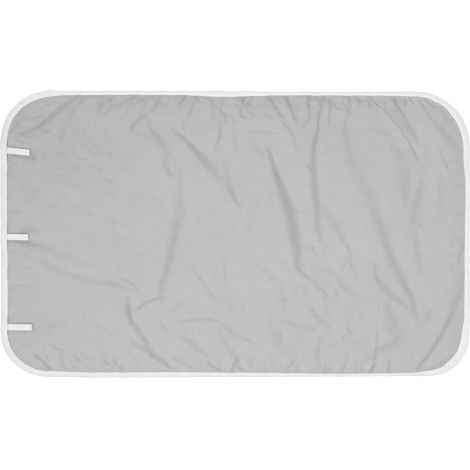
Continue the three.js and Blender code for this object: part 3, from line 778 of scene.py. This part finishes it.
def make_object(name, points, faces):
    """A smooth mesh object from points in millimetres."""
    mesh = bpy.data.meshes.new(name)
    mesh.from_pydata((np.asarray(points).reshape(-1, 3) * MILLIMETRE).tolist(), [], faces)
    mesh.polygons.foreach_set("use_smooth", [True] * len(mesh.polygons))
    mesh.update()
    obj = bpy.data.objects.new(name, mesh)
    bpy.context.collection.objects.link(obj)
    return obj


def grid_faces(rows, columns, wrap_rows=False, wrap_columns=False):
    """Four-sided faces between neighbouring points of a grid."""
    i = np.arange(rows if wrap_rows else rows - 1)[:, None]
    j = np.arange(columns if wrap_columns else columns - 1)[None, :]
    a = i * columns + j
    b = i * columns + (j + 1) % columns
    c = (i + 1) % rows * columns + (j + 1) % columns
    d = (i + 1) % rows * columns + j
    return np.stack([a, b, c, d], axis=-1).reshape(-1, 4)


def grid_rim(rows, columns, first=0):
    """The points round the rim of a grid, in order."""
    ids = np.arange(rows * columns).reshape(rows, columns) + first
    return np.concatenate([ids[0, :-1], ids[:-1, -1], ids[-1, :0:-1], ids[:0:-1, 0]])


def sheet_object(name, x, y, top, bottom):
    """A closed sheet over a grid of points, whose lower skin may have every few points only."""
    step = (x.shape[0] - 1) // (bottom.shape[0] - 1)
    upper = np.stack([x, y, top], axis=-1).reshape(-1, 3)
    lower = np.stack([x[::step, ::step], y[::step, ::step], bottom], axis=-1).reshape(-1, 3)
    faces = grid_faces(*x.shape).tolist()
    faces += (grid_faces(*bottom.shape)[:, [0, 3, 2, 1]] + len(upper)).tolist()
    rim = np.concatenate([grid_rim(*x.shape), [0]])
    low_rim = np.concatenate([grid_rim(*bottom.shape, len(upper)), [len(upper)]])
    for k in range(len(low_rim) - 1):
        above = rim[k * step:(k + 1) * step + 1][::-1].tolist()
        faces.append(above + low_rim[k:k + 2].tolist())
    return make_object(name, np.concatenate([upper, lower]), faces)


def add_values(obj, name, values):
    """A named number at each point of a mesh, for its material."""
    layer = obj.data.attributes.new(name, "FLOAT", "POINT")
    layer.data.foreach_set("value", values.astype(np.float32))


def add_places(obj, domain, places):
    """Where each point or corner lies on its tape: along it, across it, and how much darker it is made
    there.
    """
    layer = obj.data.attributes.new("tape_place", "FLOAT_VECTOR", domain)
    layer.data.foreach_set("vector", places.astype(np.float32).ravel())


def spread(count):
    """Shares from -1 to 1, closer together towards both ends."""
    t = np.linspace(-1, 1, count)
    return t + EDGE_DENSITY * np.sin(math.pi * t) / math.pi


def pad_grid(columns, rows):
    """Grid of points that fills the outline of the layers inside the binding."""
    y = (HALF_WIDTH - LAYER_INSET) * spread(rows)
    left, right = edge_x(y, -1, LAYER_INSET), edge_x(y, 1, LAYER_INSET)
    share = (spread(columns)[None, :] + 1) / 2
    x = left[:, None] + (right - left)[:, None] * share
    return x, np.repeat(y[:, None], columns, axis=1)


def lowest_nearby(values, step):
    """Every few points of a grid, each with the lowest value of its neighbourhood."""
    rows, columns = values.shape
    padded = np.pad(values, step, mode="edge")
    lowest = values[::step, ::step]
    for i in range(2 * step + 1):
        for j in range(2 * step + 1):
            lowest = np.minimum(lowest, padded[i:i + rows:step, j:j + columns:step])
    return lowest


# Settling of the face

SETTLE_FRAMES = 20
# How much longer the cloth is than its seam allows, and how strongly the padding holds it.
SETTLE_FULLNESS = 0.004
PADDING_GRIP = 0.05
# Share of the cloth's rise that the face takes, its limit, and how far in the seam still holds.
SETTLE_SHARE = 0.4
MOST_SETTLED = 1.2
SEAM_HOLD = 1.0


def cloth_rise(x, y, start, held):
    """How far each point of a cloth, a little too full for the seam that holds it, rises from where
    it starts, when the padding under it grips it softly."""
    points = np.stack([x, y, start], axis=-1)
    cloth = make_object("settling_cloth", points, grid_faces(*x.shape).tolist())
    grip = cloth.vertex_groups.new(name="grip")
    grip.add(np.flatnonzero(held).tolist(), 1.0, "REPLACE")
    grip.add(np.flatnonzero(~held).tolist(), PADDING_GRIP, "REPLACE")
    simulation = cloth.modifiers.new("Cloth", "CLOTH")
    simulation.settings.vertex_group_mass = grip.name
    simulation.settings.shrink_min = -SETTLE_FULLNESS
    simulation.settings.shrink_max = -SETTLE_FULLNESS
    simulation.settings.effector_weights.gravity = 0
    simulation.collision_settings.use_collision = False
    scene = bpy.context.scene
    for number in range(1, SETTLE_FRAMES + 1):
        scene.frame_set(number)
    settled = cloth.evaluated_get(bpy.context.evaluated_depsgraph_get())
    places = np.empty(3 * x.size, np.float32)
    settled.data.vertices.foreach_get("co", places)
    scene.frame_set(1)
    mesh = cloth.data
    bpy.data.objects.remove(cloth)
    bpy.data.meshes.remove(mesh)
    return places[2::3].reshape(x.shape) / MILLIMETRE - start


def settled_top(x, y, start):
    """The face after it has settled, from a simulation of every few of its points."""
    inside = inside_seam(x, y)
    few_x, few_y, few_start, few_inside = (values[EVERY_FEW] for values in (x, y, start, inside))
    rise = SETTLE_SHARE * cloth_rise(few_x, few_y, few_start, few_inside < SEAM_HOLD)
    rise = MOST_SETTLED * np.tanh(rise / MOST_SETTLED)
    rise = spline(spline(rise, COARSE_STEP).T, COARSE_STEP).T
    free = smooth_step(inside / SEAM_FADE) * (1 - loop_shadow(x, y, LOOP_MARGIN))
    return np.maximum(start + free * rise, back_bottom(x, y) + LEAST_LAYERS)


# Layers

x, y = pad_grid(FACE_CELLS[0] + 1, FACE_CELLS[1] + 1)
top, painted_shade = face_top(x, y)
top = settled_top(x, y, top)
face_under = lowest_nearby(top, COARSE_STEP) - FABRIC_THICKNESS
face = sheet_object("face_sheet", x, y, top, face_under)
# The face carries its painted shade and light as a number at each point, for its material.
add_values(face, "painted_shade", np.concatenate([painted_shade.ravel(), painted_shade[EVERY_FEW].ravel()]))

x, y = x[EVERY_FEW], y[EVERY_FEW]
bottom = back_bottom(x, y)
back_top = bottom + FABRIC_THICKNESS
back = sheet_object("back_sheet", x, y, back_top, bottom)
wadding = sheet_object("wadding_sheet", x, y, face_under - LAYER_GAP, back_top + LAYER_GAP)


# Binding

STITCH_LENGTH = 3.0
STITCH_INSET = 2.0
STITCH_COUNT = round(AROUND / STITCH_LENGTH)
# The tape swells between its seam and its fold, at a share of its width and over such a share.
BAND_PUFF, PUFF_PLACE, PUFF_SHARE = 0.35, 0.55, 0.25
# Each stitch pinches the tape, most at its middle, and the tape's inner edge curls down.
SEAM_PINCH, PINCH_LENGTH, PINCH_MIDDLE, PINCH_SWING = 0.22, 0.9, 0.6, 0.4
EDGE_CURL, CURL_SHARE = 0.18, 0.05
GATHER_WAVES, CORNER_GATHER, STRAIGHT_GATHER = (7, 24, 24, 23), 0.30, 0.16
# On a corner, both parts of the outward normal are at least this long.
CORNER_NORMAL = 0.1
FOLD_STEPS, LEG_STEPS = 10, 7
# The tape climbs over a loop's ends: how far beside them it is still lifted, and over which length.
LIFT_MARGIN, LIFT_RAMP = 2.0, 20.0
# The tape is made brighter along its edges, over about this length.
TAPE_EDGE = 1.5
EDGE_BRIGHTNESS = 0.7
# How much shade is painted on the outer fold of the tape, or below 0 light, by side of the pad.
TAPE_FOLD_PAINTED_SHADE = {"left": 0.8, "right": -0.3, "lower": 0.65, "upper": -0.6}
TAPE_FOLD_SHADE_LENGTH = 5.0

path, normals = outline_points(BINDING_STEP)
along = outline_position(path[:, 0], path[:, 1])


def loop_lift(x, y):
    """How far the tape is lifted where it passes over the ends of a loop."""
    away = np.min([np.abs(y - loop["y"]) for loop in LOOPS.values()], axis=0)
    lifted = smooth_step(1 - (away - TAPE_WIDTH / 2 - LIFT_MARGIN) / LIFT_RAMP)
    return TAPE_LIFT * np.where(x < 0, lifted, 0)


lift = loop_lift(path[:, 0], path[:, 1])
seam_inset = band_edge(along) - STITCH_INSET


def binding_points():
    """The folded tape as a ring of sections: its outer skin first, then its inner one."""
    outer, inner = band_offset(along), band_edge(along)
    turning = np.abs(normals).min(axis=1) > CORNER_NORMAL
    gather = np.where(turning, CORNER_GATHER, STRAIGHT_GATHER)
    puff = BAND_PUFF + gather * ring_waves(along, *GATHER_WAVES)
    tightness = PINCH_MIDDLE - PINCH_SWING * np.cos(2 * math.pi * STITCH_COUNT * along / AROUND)
    skins = []
    for thickness in (0.0, TAPE_THICKNESS):
        upper = BINDING_TOP + lift - thickness
        lower = np.full_like(upper, BINDING_BOTTOM + thickness)
        rows = []
        for k in range(LEG_STEPS):
            share = k / LEG_STEPS
            inset = inner + (outer + FOLD_RADIUS - inner) * share
            swell = puff * np.exp(-((share - PUFF_PLACE) / PUFF_SHARE) ** 2)
            pinch = SEAM_PINCH * np.exp(-((inset - seam_inset) / PINCH_LENGTH) ** 2) * tightness
            curl = EDGE_CURL * math.exp(-(share / CURL_SHARE) ** 2)
            rows.append((inset, upper + swell - (pinch + curl) * (1 - lift / TAPE_LIFT)))
        for k in range(FOLD_STEPS + 1):
            angle = math.pi * k / FOLD_STEPS
            inset = outer + FOLD_RADIUS - (FOLD_RADIUS - thickness) * math.sin(angle)
            rows.append((inset, (upper + lower) / 2 + (upper - lower) / 2 * math.cos(angle)))
        for k in range(LEG_STEPS - 1, -1, -1):
            share = k / LEG_STEPS
            rows.append((BINDING_WIDTH + (outer + FOLD_RADIUS - BINDING_WIDTH) * share, lower))
        skins.append(rows)
    rows = skins[0] + skins[1][::-1]
    insets = np.stack([row[0] for row in rows], axis=1)
    heights = np.stack([row[1] for row in rows], axis=1)
    flat = path[:, None, :] - insets[..., None] * normals[:, None, :]
    return np.concatenate([flat, heights[..., None]], axis=-1)


def binding_places(ring):
    """Place on the binding's tape at each corner of each face, the last faces ending where the
    first began."""
    widths = np.linalg.norm(np.diff(ring, axis=1, append=ring[:, :1]), axis=-1)
    across = np.concatenate([np.zeros((len(ring), 1)), np.cumsum(widths, axis=1)], axis=1)
    girth = across[:, -1:] / 2
    from_edge = np.minimum(across % girth, girth - across % girth)
    from_fold = across % girth - across[:, LEG_STEPS + FOLD_STEPS // 2][:, None]
    # Light and shade painted on the outer fold of the tape, by side of the pad.
    painted_fold_shade = by_side(path[:, :1], path[:, 1:], TAPE_FOLD_PAINTED_SHADE) * np.exp(-(from_fold / TAPE_FOLD_SHADE_LENGTH) ** 2)
    darkening = painted_fold_shade - EDGE_BRIGHTNESS * np.exp(-from_edge / TAPE_EDGE)
    lengths = np.concatenate([along, [AROUND]])[:, None] * np.ones(across.shape[1])
    across, darkening = (np.concatenate([values, values[:1]]) for values in (across, darkening))
    places = np.stack([lengths, across, darkening], axis=-1)
    corners = [places[:-1, :-1], places[:-1, 1:], places[1:, 1:], places[1:, :-1]]
    return np.stack(corners, axis=2).reshape(-1, 3)


ring = binding_points()
binding = make_object("binding_tape", ring, grid_faces(*ring.shape[:2], True, True).tolist())
add_places(binding, "CORNER", binding_places(ring))


# Stitches

THREAD_RADIUS = 0.16
STITCH_SIDES = 6
# Along a stitch, by its rings: shares of the thread's radius, and of how far its ends bend in.
STITCH_SHAPE = np.array([0.35, 0.95, 1.0, 0.95, 0.35])
STITCH_BEND = np.array([1.0, 0.25, 0.0, 0.25, 1.0])
# Share of a stitch's length, each way from its middle, that shows.
STITCH_HALF = 0.41
NEEDLE_SINK, NEEDLE_BEND = 0.02, 0.22
BOBBIN_DROP, BOBBIN_BEND = 0.14, -0.14


def stitch_row(name, inset, height, bend):
    """A row of separate stitches along the binding, each one a short bent capsule."""
    sides, rings = STITCH_SIDES, len(STITCH_SHAPE)
    thick = THREAD_RADIUS * STITCH_SHAPE
    dip = bend * STITCH_BEND
    turn = 2 * math.pi * np.arange(sides) / sides
    order = np.argsort(along)

    def at_place(values, place):
        return np.interp(place, along[order], values[order], period=AROUND)

    middle = (np.arange(STITCH_COUNT) + 0.5) * AROUND / STITCH_COUNT
    place = middle[:, None] + np.linspace(-STITCH_HALF, STITCH_HALF, rings)[None, :] * STITCH_LENGTH
    centre = [at_place(path[:, k] - inset * normals[:, k], place) for k in (0, 1)]
    normal = [at_place(normals[:, k], place) for k in (0, 1)]
    level = at_place(height, place) - dip[None, :]
    out = thick[None, :, None] * np.cos(turn)
    points = np.stack([
        centre[0][..., None] + normal[0][..., None] * out,
        centre[1][..., None] + normal[1][..., None] * out,
        level[..., None] + thick[None, :, None] * np.sin(turn),
    ], axis=-1)
    one = grid_faces(rings, sides, wrap_columns=True)[:, ::-1].tolist()
    last = rings * sides - 1
    one += [list(range(sides)), list(range(last, last - sides, -1))]
    starts = range(0, STITCH_COUNT * rings * sides, rings * sides)
    faces = [[start + index for index in corners] for start in starts for corners in one]
    return make_object(name, points, faces)


needle = stitch_row("needle_stitches", seam_inset, BINDING_TOP + lift - NEEDLE_SINK, NEEDLE_BEND)
bobbin_inset = np.full_like(along, BINDING_WIDTH - STITCH_INSET)
bobbin_height = np.full_like(along, BINDING_BOTTOM - BOBBIN_DROP)
bobbin = stitch_row("bobbin_stitches", bobbin_inset, bobbin_height, BOBBIN_BEND)


# Hanging loops

LOOP_TAIL = 10.4
LOOP_STEPS, BOW_STEPS, SECTION_POINTS = 90, 26, 12
# The face rises under a loop from just before its fold line, to a little over its full height.
SEAT_START, SEAT_LENGTH, SEAT_RISE = -0.8, 20.0, 0.5
# Past its fold line the two halves of a loop still lie together for this length.
SEWN_LENGTH = 2.0
TAPE_ROUNDING = 0.5


def loop_seat(distance):
    """Height that a loop lies at over the face, at a distance past its fold line."""
    swell = 1 - np.exp(-np.maximum(distance - SEAT_START, 0) / SEAT_LENGTH)
    return SEWN_FACE_TOP + (FULL_FACE_TOP + SEAT_RISE - SEWN_FACE_TOP) * swell + SEAT_GAP


def loop_path(reach):
    """Middle line of a loop's tape in side view: out along the face, round the eye, and back."""
    half = TAPE_THICKNESS / 2
    eye_radius = EYE_HEIGHT / 2
    eye_centre = reach - eye_radius - TAPE_THICKNESS
    distance = np.linspace(-LOOP_TAIL, eye_centre, LOOP_STEPS)
    seat = np.where(distance < 0, SEWN_FACE_TOP + SEAT_GAP, loop_seat(distance))
    open_height = EYE_HEIGHT * smooth_step((distance - SEWN_LENGTH) / (eye_centre - SEWN_LENGTH))
    lower = np.stack([distance, seat + half], axis=1)
    upper = np.stack([distance, seat + 3 * half + open_height], axis=1)
    angles = np.linspace(-math.pi / 2, math.pi / 2, BOW_STEPS)[1:-1]
    middle = loop_seat(np.array(eye_centre)) + 2 * half + eye_radius
    bow = np.stack([eye_centre + (eye_radius + half) * np.cos(angles),
                    middle + (eye_radius + half) * np.sin(angles)], axis=1)
    return np.concatenate([lower, bow, upper[::-1]])


def tape_section():
    """Rounded flat section of the tape as (across, through) pairs."""
    half_width, half_thick = TAPE_WIDTH / 2, TAPE_THICKNESS / 2
    across = np.linspace(-1, 1, SECTION_POINTS) * (half_width - half_thick * TAPE_ROUNDING)
    edge = np.array([[half_width, 0.0]])
    upper = np.stack([across, np.full(SECTION_POINTS, half_thick)], axis=1)
    lower = np.stack([across[::-1], np.full(SECTION_POINTS, -half_thick)], axis=1)
    return np.concatenate([upper, edge, lower, -edge])


def loop_object(name, loop):
    """A loop of tape with both its ends, as one closed mesh."""
    line = loop_path(loop["reach"])
    tangent = np.gradient(line, axis=0)
    tangent /= np.linalg.norm(tangent, axis=1)[:, None]
    normal = np.stack([-tangent[:, 1], tangent[:, 0]], axis=1)
    section = tape_section()
    side = line[:, None, :] + normal[:, None, :] * section[None, :, 1:2]
    across = np.repeat(section[None, :, 0], len(line), axis=0)
    c, s = math.cos(loop["tilt"]), math.sin(loop["tilt"])
    points = np.stack([loop["x"] + side[..., 0] * c - across * s,
                       loop["y"] + side[..., 0] * s + across * c, side[..., 1]], axis=-1)
    rows, columns = points.shape[:2]
    faces = grid_faces(rows, columns, wrap_columns=True).tolist()
    faces += [list(range(columns - 1, -1, -1)), list(range((rows - 1) * columns, rows * columns))]
    obj = make_object(f"loop_tape_{name}", points, faces)
    run = np.concatenate([[0], np.cumsum(np.linalg.norm(np.diff(line, axis=0), axis=1))])
    darkening = -EDGE_BRIGHTNESS * np.exp((np.abs(across) - TAPE_WIDTH / 2) / TAPE_EDGE)
    lengths = np.repeat(run[:, None], columns, axis=1)
    add_places(obj, "POINT", np.stack([lengths, across, darkening], axis=-1))
    return obj


loops = {name: loop_object(name, loop) for name, loop in LOOPS.items()}


# Materials

# Each finish's darkest and lightest colour.
FACE_COLOURS = (0.29, 0.29, 0.29, 1), (0.56, 0.56, 0.56, 1)
BACK_COLOURS = (0.32, 0.32, 0.32, 1), (0.58, 0.58, 0.58, 1)
TAPE_COLOURS = (0.76, 0.76, 0.76, 1), (0.94, 0.94, 0.94, 1)
WADDING_COLOURS = (0.62, 0.60, 0.56, 1), (0.82, 0.80, 0.76, 1)
THREAD_COLOURS = (0.70, 0.70, 0.69, 1), (0.92, 0.92, 0.91, 1)
# Size of each finish's yarns, ribs or fibres.
FACE_YARN, BACK_YARN, TAPE_RIB, THREAD_TWIST, WADDING_FIBRE = 0.9, 0.7, 0.8, 0.35, 1.5
# Each finish's roughness, from its smoothest to its roughest place.
FACE_ROUGHNESS, BACK_ROUGHNESS, TAPE_ROUGHNESS = (0.66, 0.74), (0.8, 0.9), (0.8, 0.95)
WADDING_ROUGHNESS, THREAD_ROUGHNESS = (0.92, 1.0), (0.5, 0.7)
# Tones lie between a dark (0) and a light (1) colour: a middle, and the weight of each pattern.
# Of the face, the last weight is that of its painted shade and light.
WOVEN_MIDDLE, WOVEN_CLOUD, WOVEN_WEAVE, WOVEN_YARN, FACE_PAINTED_SHADE = 0.75, 0.175, 0.11, 0.275, 0.375
# Of the tape, the last weight is that of its brighter edges and the light and shade painted on its fold.
TAPE_MIDDLE, TAPE_RIBS, TAPE_FIBRES, TAPE_CLOUD, TAPE_DARKENING = 0.5, 0.25, 0.3, 0.45, -1.0
FIBRE_MIDDLE, FIBRE_GRAIN, FIBRE_TWIST = 0.5, 0.8, 0.3
# Noise of each pattern: its scale, per metre or per millimetre of tape, and its detail.
WOVEN_CLOUD_NOISE, TAPE_CLOUD_NOISE = (7.0, 4.0), (22.0, 3.0)
TAPE_FIBRE_NOISE, FIBRE_DETAIL = (1.6, 2.0), 5.0
YARN_STRETCHES, YARN_NOISE = ((40, 640, 0), (640, 40, 0)), (1.0, 2.0)
RIB_WAVER, TWIST_WAVER = 0.4, 3.0
# Bump: strength and depth.
WOVEN_BUMP, FIBRE_BUMP, FIBRE_BUMP_SHARE = (0.5, 0.12), 0.6, 0.25
WOVEN_SHEEN, TAPE_SHEEN = 0.06, 0.1
# The wave texture runs through this many of its bands in one unit at scale 1.
WAVE_BANDS = 20 / (2 * math.pi)
NOISE_MIDDLE = 0.5


def start_material(name):
    """A new material, its nodes and its shader."""
    material = bpy.data.materials.new(name)
    material.use_nodes = True
    return material, material.node_tree, material.node_tree.nodes["Principled BSDF"]


def add_node(tree, kind, settings, inputs):
    """A node with its settings made, and each socket given a value or joined to an output."""
    made = tree.nodes.new(f"ShaderNode{kind}")
    for name, value in settings.items():
        setattr(made, name, value)
    for name, value in inputs.items():
        if isinstance(value, bpy.types.NodeSocket):
            tree.links.new(value, made.inputs[name])
        else:
            made.inputs[name].default_value = value
    return made


def flat_place(tree, scale=(1, 1, 0)):
    """The place on the pad seen from above, in metres, stretched by a scale."""
    place = add_node(tree, "TexCoord", {}, {}).outputs["Object"]
    return add_node(tree, "Mapping", {}, {"Vector": place, "Scale": scale}).outputs["Vector"]


def noise(tree, place, scale, detail):
    inputs = {"Vector": place, "Scale": scale, "Detail": detail}
    return add_node(tree, "TexNoise", {}, inputs).outputs["Fac"]


def bands(tree, place, axis, pitch, waver=0.0):
    """Parallel yarns or ribs, from 0 between them to 1 on their crests."""
    inputs = {"Vector": place, "Scale": 1 / (WAVE_BANDS * pitch), "Distortion": waver}
    return add_node(tree, "TexWave", {"bands_direction": axis}, inputs).outputs["Fac"]


def plain_weave(tree, pitch):
    """Height of a plain weave: at every crossing one of the two yarns lies on top."""
    place = flat_place(tree)
    crossing = add_node(tree, "TexChecker", {}, {"Vector": place, "Scale": 1 / pitch}).outputs["Fac"]
    warp, weft = bands(tree, place, "X", pitch), bands(tree, place, "Y", pitch)
    return add_node(tree, "Mix", {}, {"Factor": crossing, "A": warp, "B": weft}).outputs["Result"]


def weighed(tree, shares, middle):
    """Several values added by their weights round a middle, where a weight below 0 only takes away."""
    total = middle - NOISE_MIDDLE * sum(weight for value, weight in shares if weight > 0)
    for value, weight in shares:
        inputs = {0: value, 1: weight, 2: total}
        total = add_node(tree, "Math", {"operation": "MULTIPLY_ADD"}, inputs).outputs[0]
    return total


def colour_between(tree, shader, colours, tone):
    mixed = add_node(tree, "Mix", {"data_type": "RGBA"}, {"Factor": tone})
    mixed.inputs[6].default_value, mixed.inputs[7].default_value = colours
    tree.links.new(mixed.outputs[2], shader.inputs["Base Color"])


def roughness_between(tree, shader, value, smooth, rough):
    spread_out = add_node(tree, "MapRange", {}, {"Value": value, "To Min": smooth, "To Max": rough})
    tree.links.new(spread_out.outputs["Result"], shader.inputs["Roughness"])


def raise_by(tree, shader, height, strength, millimetres):
    inputs = {"Height": height, "Strength": strength, "Distance": millimetres * MILLIMETRE}
    bump = add_node(tree, "Bump", {}, inputs)
    tree.links.new(bump.outputs["Normal"], shader.inputs["Normal"])


def woven_material(name, colours, pitch, roughness, painted_shade_weight):
    """Plain-woven cotton with uneven yarns both ways, cloudy tone and, if weighed, the face's painted
    shade and light.
    """
    material, tree, shader = start_material(name)
    weave = plain_weave(tree, pitch * MILLIMETRE)
    cloud = noise(tree, flat_place(tree), *WOVEN_CLOUD_NOISE)
    shares = [(cloud, WOVEN_CLOUD), (weave, WOVEN_WEAVE)]
    for stretch in YARN_STRETCHES:
        shares.append((noise(tree, flat_place(tree, stretch), *YARN_NOISE), WOVEN_YARN))
    if painted_shade_weight:
        painted_shade_here = add_node(tree, "Attribute", {"attribute_name": "painted_shade"}, {}).outputs["Fac"]
        shares.append((painted_shade_here, -painted_shade_weight))
    colour_between(tree, shader, colours, weighed(tree, shares, WOVEN_MIDDLE))
    roughness_between(tree, shader, cloud, *roughness)
    raise_by(tree, shader, weave, *WOVEN_BUMP)
    shader.inputs["Sheen Weight"].default_value = WOVEN_SHEEN
    return material


def ribbed_material(name, colours, pitch, roughness):
    """Ribbed cotton tape, brighter along its edges, with light and shade painted on the binding's outer
    fold.
    """
    material, tree, shader = start_material(name)
    place = add_node(tree, "Attribute", {"attribute_name": "tape_place"}, {}).outputs["Vector"]
    parts = add_node(tree, "SeparateXYZ", {}, {"Vector": place})
    ribs = bands(tree, place, "X", pitch, RIB_WAVER)
    fibres = noise(tree, place, *TAPE_FIBRE_NOISE)
    cloud = noise(tree, flat_place(tree), *TAPE_CLOUD_NOISE)
    shares = [(ribs, TAPE_RIBS), (fibres, TAPE_FIBRES), (cloud, TAPE_CLOUD)]
    shares.append((parts.outputs["Z"], TAPE_DARKENING))
    colour_between(tree, shader, colours, weighed(tree, shares, TAPE_MIDDLE))
    roughness_between(tree, shader, fibres, *roughness)
    raise_by(tree, shader, ribs, *WOVEN_BUMP)
    shader.inputs["Sheen Weight"].default_value = TAPE_SHEEN
    return material


def fibre_material(name, colours, grain, roughness):
    """Felted or twisted fibres: a fine grain in the surface's own place."""
    material, tree, shader = start_material(name)
    place = add_node(tree, "TexCoord", {}, {}).outputs["Object"]
    fibres = noise(tree, place, 1 / (grain * MILLIMETRE), FIBRE_DETAIL)
    twist = bands(tree, place, "DIAGONAL", grain * MILLIMETRE, TWIST_WAVER)
    shares = [(fibres, FIBRE_GRAIN), (twist, FIBRE_TWIST)]
    colour_between(tree, shader, colours, weighed(tree, shares, FIBRE_MIDDLE))
    roughness_between(tree, shader, fibres, *roughness)
    raise_by(tree, shader, fibres, FIBRE_BUMP, grain * FIBRE_BUMP_SHARE)
    return material


face_material = woven_material("face_cotton", FACE_COLOURS, FACE_YARN, FACE_ROUGHNESS, FACE_PAINTED_SHADE)
back_material = woven_material("back_cotton", BACK_COLOURS, BACK_YARN, BACK_ROUGHNESS, 0)
tape_material = ribbed_material("white_tape", TAPE_COLOURS, TAPE_RIB, TAPE_ROUGHNESS)
wadding_material = fibre_material("wadding", WADDING_COLOURS, WADDING_FIBRE, WADDING_ROUGHNESS)
thread_material = fibre_material("sewing_thread", THREAD_COLOURS, THREAD_TWIST, THREAD_ROUGHNESS)

for piece, material in ((face, face_material), (back, back_material), (wadding, wadding_material),
                        (binding, tape_material), (needle, thread_material), (bobbin, thread_material),
                        *((loop, tape_material) for loop in loops.values())):
    piece.data.materials.append(material)


# Riding and replacing

for piece, node, slot in ((face, "face_fabric", "face_cotton"), (back, "back_fabric", "back_cotton"),
                          (wadding, "padding", "wadding"), (binding, "edge_binding", "white_tape"),
                          (needle, "binding_needle_thread", "sewing_thread"),
                          (bobbin, "binding_bobbin_thread", "sewing_thread")):
    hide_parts(node)
    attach(piece, "pad")


for name, piece in loops.items():
    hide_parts(f"hanging_loop_{name}", f"loop_tail_{name}")
    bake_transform(piece)


# Stage, light and camera

FLOOR_SIZE = 6000.0
FLOOR_DROP = 0.2
FLOOR_COLOUR, FLOOR_GLOW = (0.8, 0.8, 0.8, 1), (0.45, 0.45, 0.45, 1)
# Share of its colour that each light gives a level sheet, and the lamps' places and sizes in metres.
AMBIENT_LEVEL = 0.2
KEY_LEVEL, KEY_PLACE, KEY_SIZE = 0.5, (-6.4, -5.6, 18.1), 8.0
FILL_LEVEL, FILL_PLACE, FILL_SIZE = 0.33, (0.14, -0.24, 1.5), 0.5
# The photo is this wide at a level just below the top of the pad, and its middle lies here.
PHOTO_WIDTH, PHOTO_LEVEL, PHOTO_MIDDLE = 900.8, 6.0, (0.3, -1.6)
LENS, SENSOR = 85.0, 36.0


def seen_directly(tree):
    """1 for rays from the camera, in a mirror or through glass, and 0 for rays that light things."""
    ways = add_node(tree, "LightPath", {}, {}).outputs
    seen = ways["Is Camera Ray"]
    for way in ("Is Glossy Ray", "Is Transmission Ray"):
        seen = add_node(tree, "Math", {"operation": "MAXIMUM"}, {0: seen, 1: ways[way]}).outputs[0]
    return seen


def floor_material():
    """White where it is seen, with the object's shadow on it, and plain where it reflects light."""
    material = bpy.data.materials.new("floor_white")
    material.use_nodes = True
    nodes, links = material.node_tree.nodes, material.node_tree.links
    nodes.clear()
    output = nodes.new("ShaderNodeOutputMaterial")
    total = nodes.new("ShaderNodeAddShader")
    diffuse = nodes.new("ShaderNodeBsdfDiffuse")
    diffuse.inputs["Color"].default_value = FLOOR_COLOUR
    glow = nodes.new("ShaderNodeEmission")
    links.new(seen_directly(material.node_tree), glow.inputs["Strength"])
    glow.inputs["Color"].default_value = FLOOR_GLOW
    links.new(diffuse.outputs[0], total.inputs[0])
    links.new(glow.outputs[0], total.inputs[1])
    links.new(total.outputs[0], output.inputs["Surface"])
    return material


floor_corners = [(side * FLOOR_SIZE, end * FLOOR_SIZE, -FLOOR_DROP) for (side, end), _ in CORNERS]
floor = make_object("floor", floor_corners, [[0, 1, 2, 3]])
floor.data.materials.append(floor_material())

world = bpy.data.worlds.new("studio")
world.use_nodes = True
bpy.context.scene.world = world
sky = world.node_tree.nodes["Background"]
sky.inputs["Color"].default_value = (1, 1, 1, 1)
levels = {"Value": seen_directly(world.node_tree), "To Min": AMBIENT_LEVEL, "To Max": 1.0}
strength = add_node(world.node_tree, "MapRange", {}, levels)
world.node_tree.links.new(strength.outputs["Result"], sky.inputs["Strength"])


def area_light(name, place, size, level, aim=(0, 0, 0)):
    """A round lamp that lights a level sheet at its aim to the given share of its colour."""
    light = bpy.data.lights.new(name, "AREA")
    light.shape = "DISK"
    light.size = size
    light.energy = level * math.pi ** 2 * Vector(place).length ** 3 / place[2]
    obj = bpy.data.objects.new(name, light)
    obj.location = place
    obj.rotation_mode = "QUATERNION"
    obj.rotation_quaternion = (Vector(aim) - Vector(place)).to_track_quat("-Z", "Y")
    bpy.context.collection.objects.link(obj)


area_light("far_softbox", KEY_PLACE, KEY_SIZE, KEY_LEVEL)
area_light("overhead_softbox", FILL_PLACE, FILL_SIZE, FILL_LEVEL)

camera_data = bpy.data.cameras.new("camera")
camera_data.lens = LENS
camera_data.sensor_width = SENSOR
camera = bpy.data.objects.new("camera", camera_data)
camera_height = PHOTO_LEVEL + PHOTO_WIDTH * LENS / SENSOR
camera.location = [length * MILLIMETRE for length in (*PHOTO_MIDDLE, camera_height)]
bpy.context.collection.objects.link(camera)
bpy.context.scene.camera = camera
bpy.context.scene.view_settings.view_transform = "Standard"
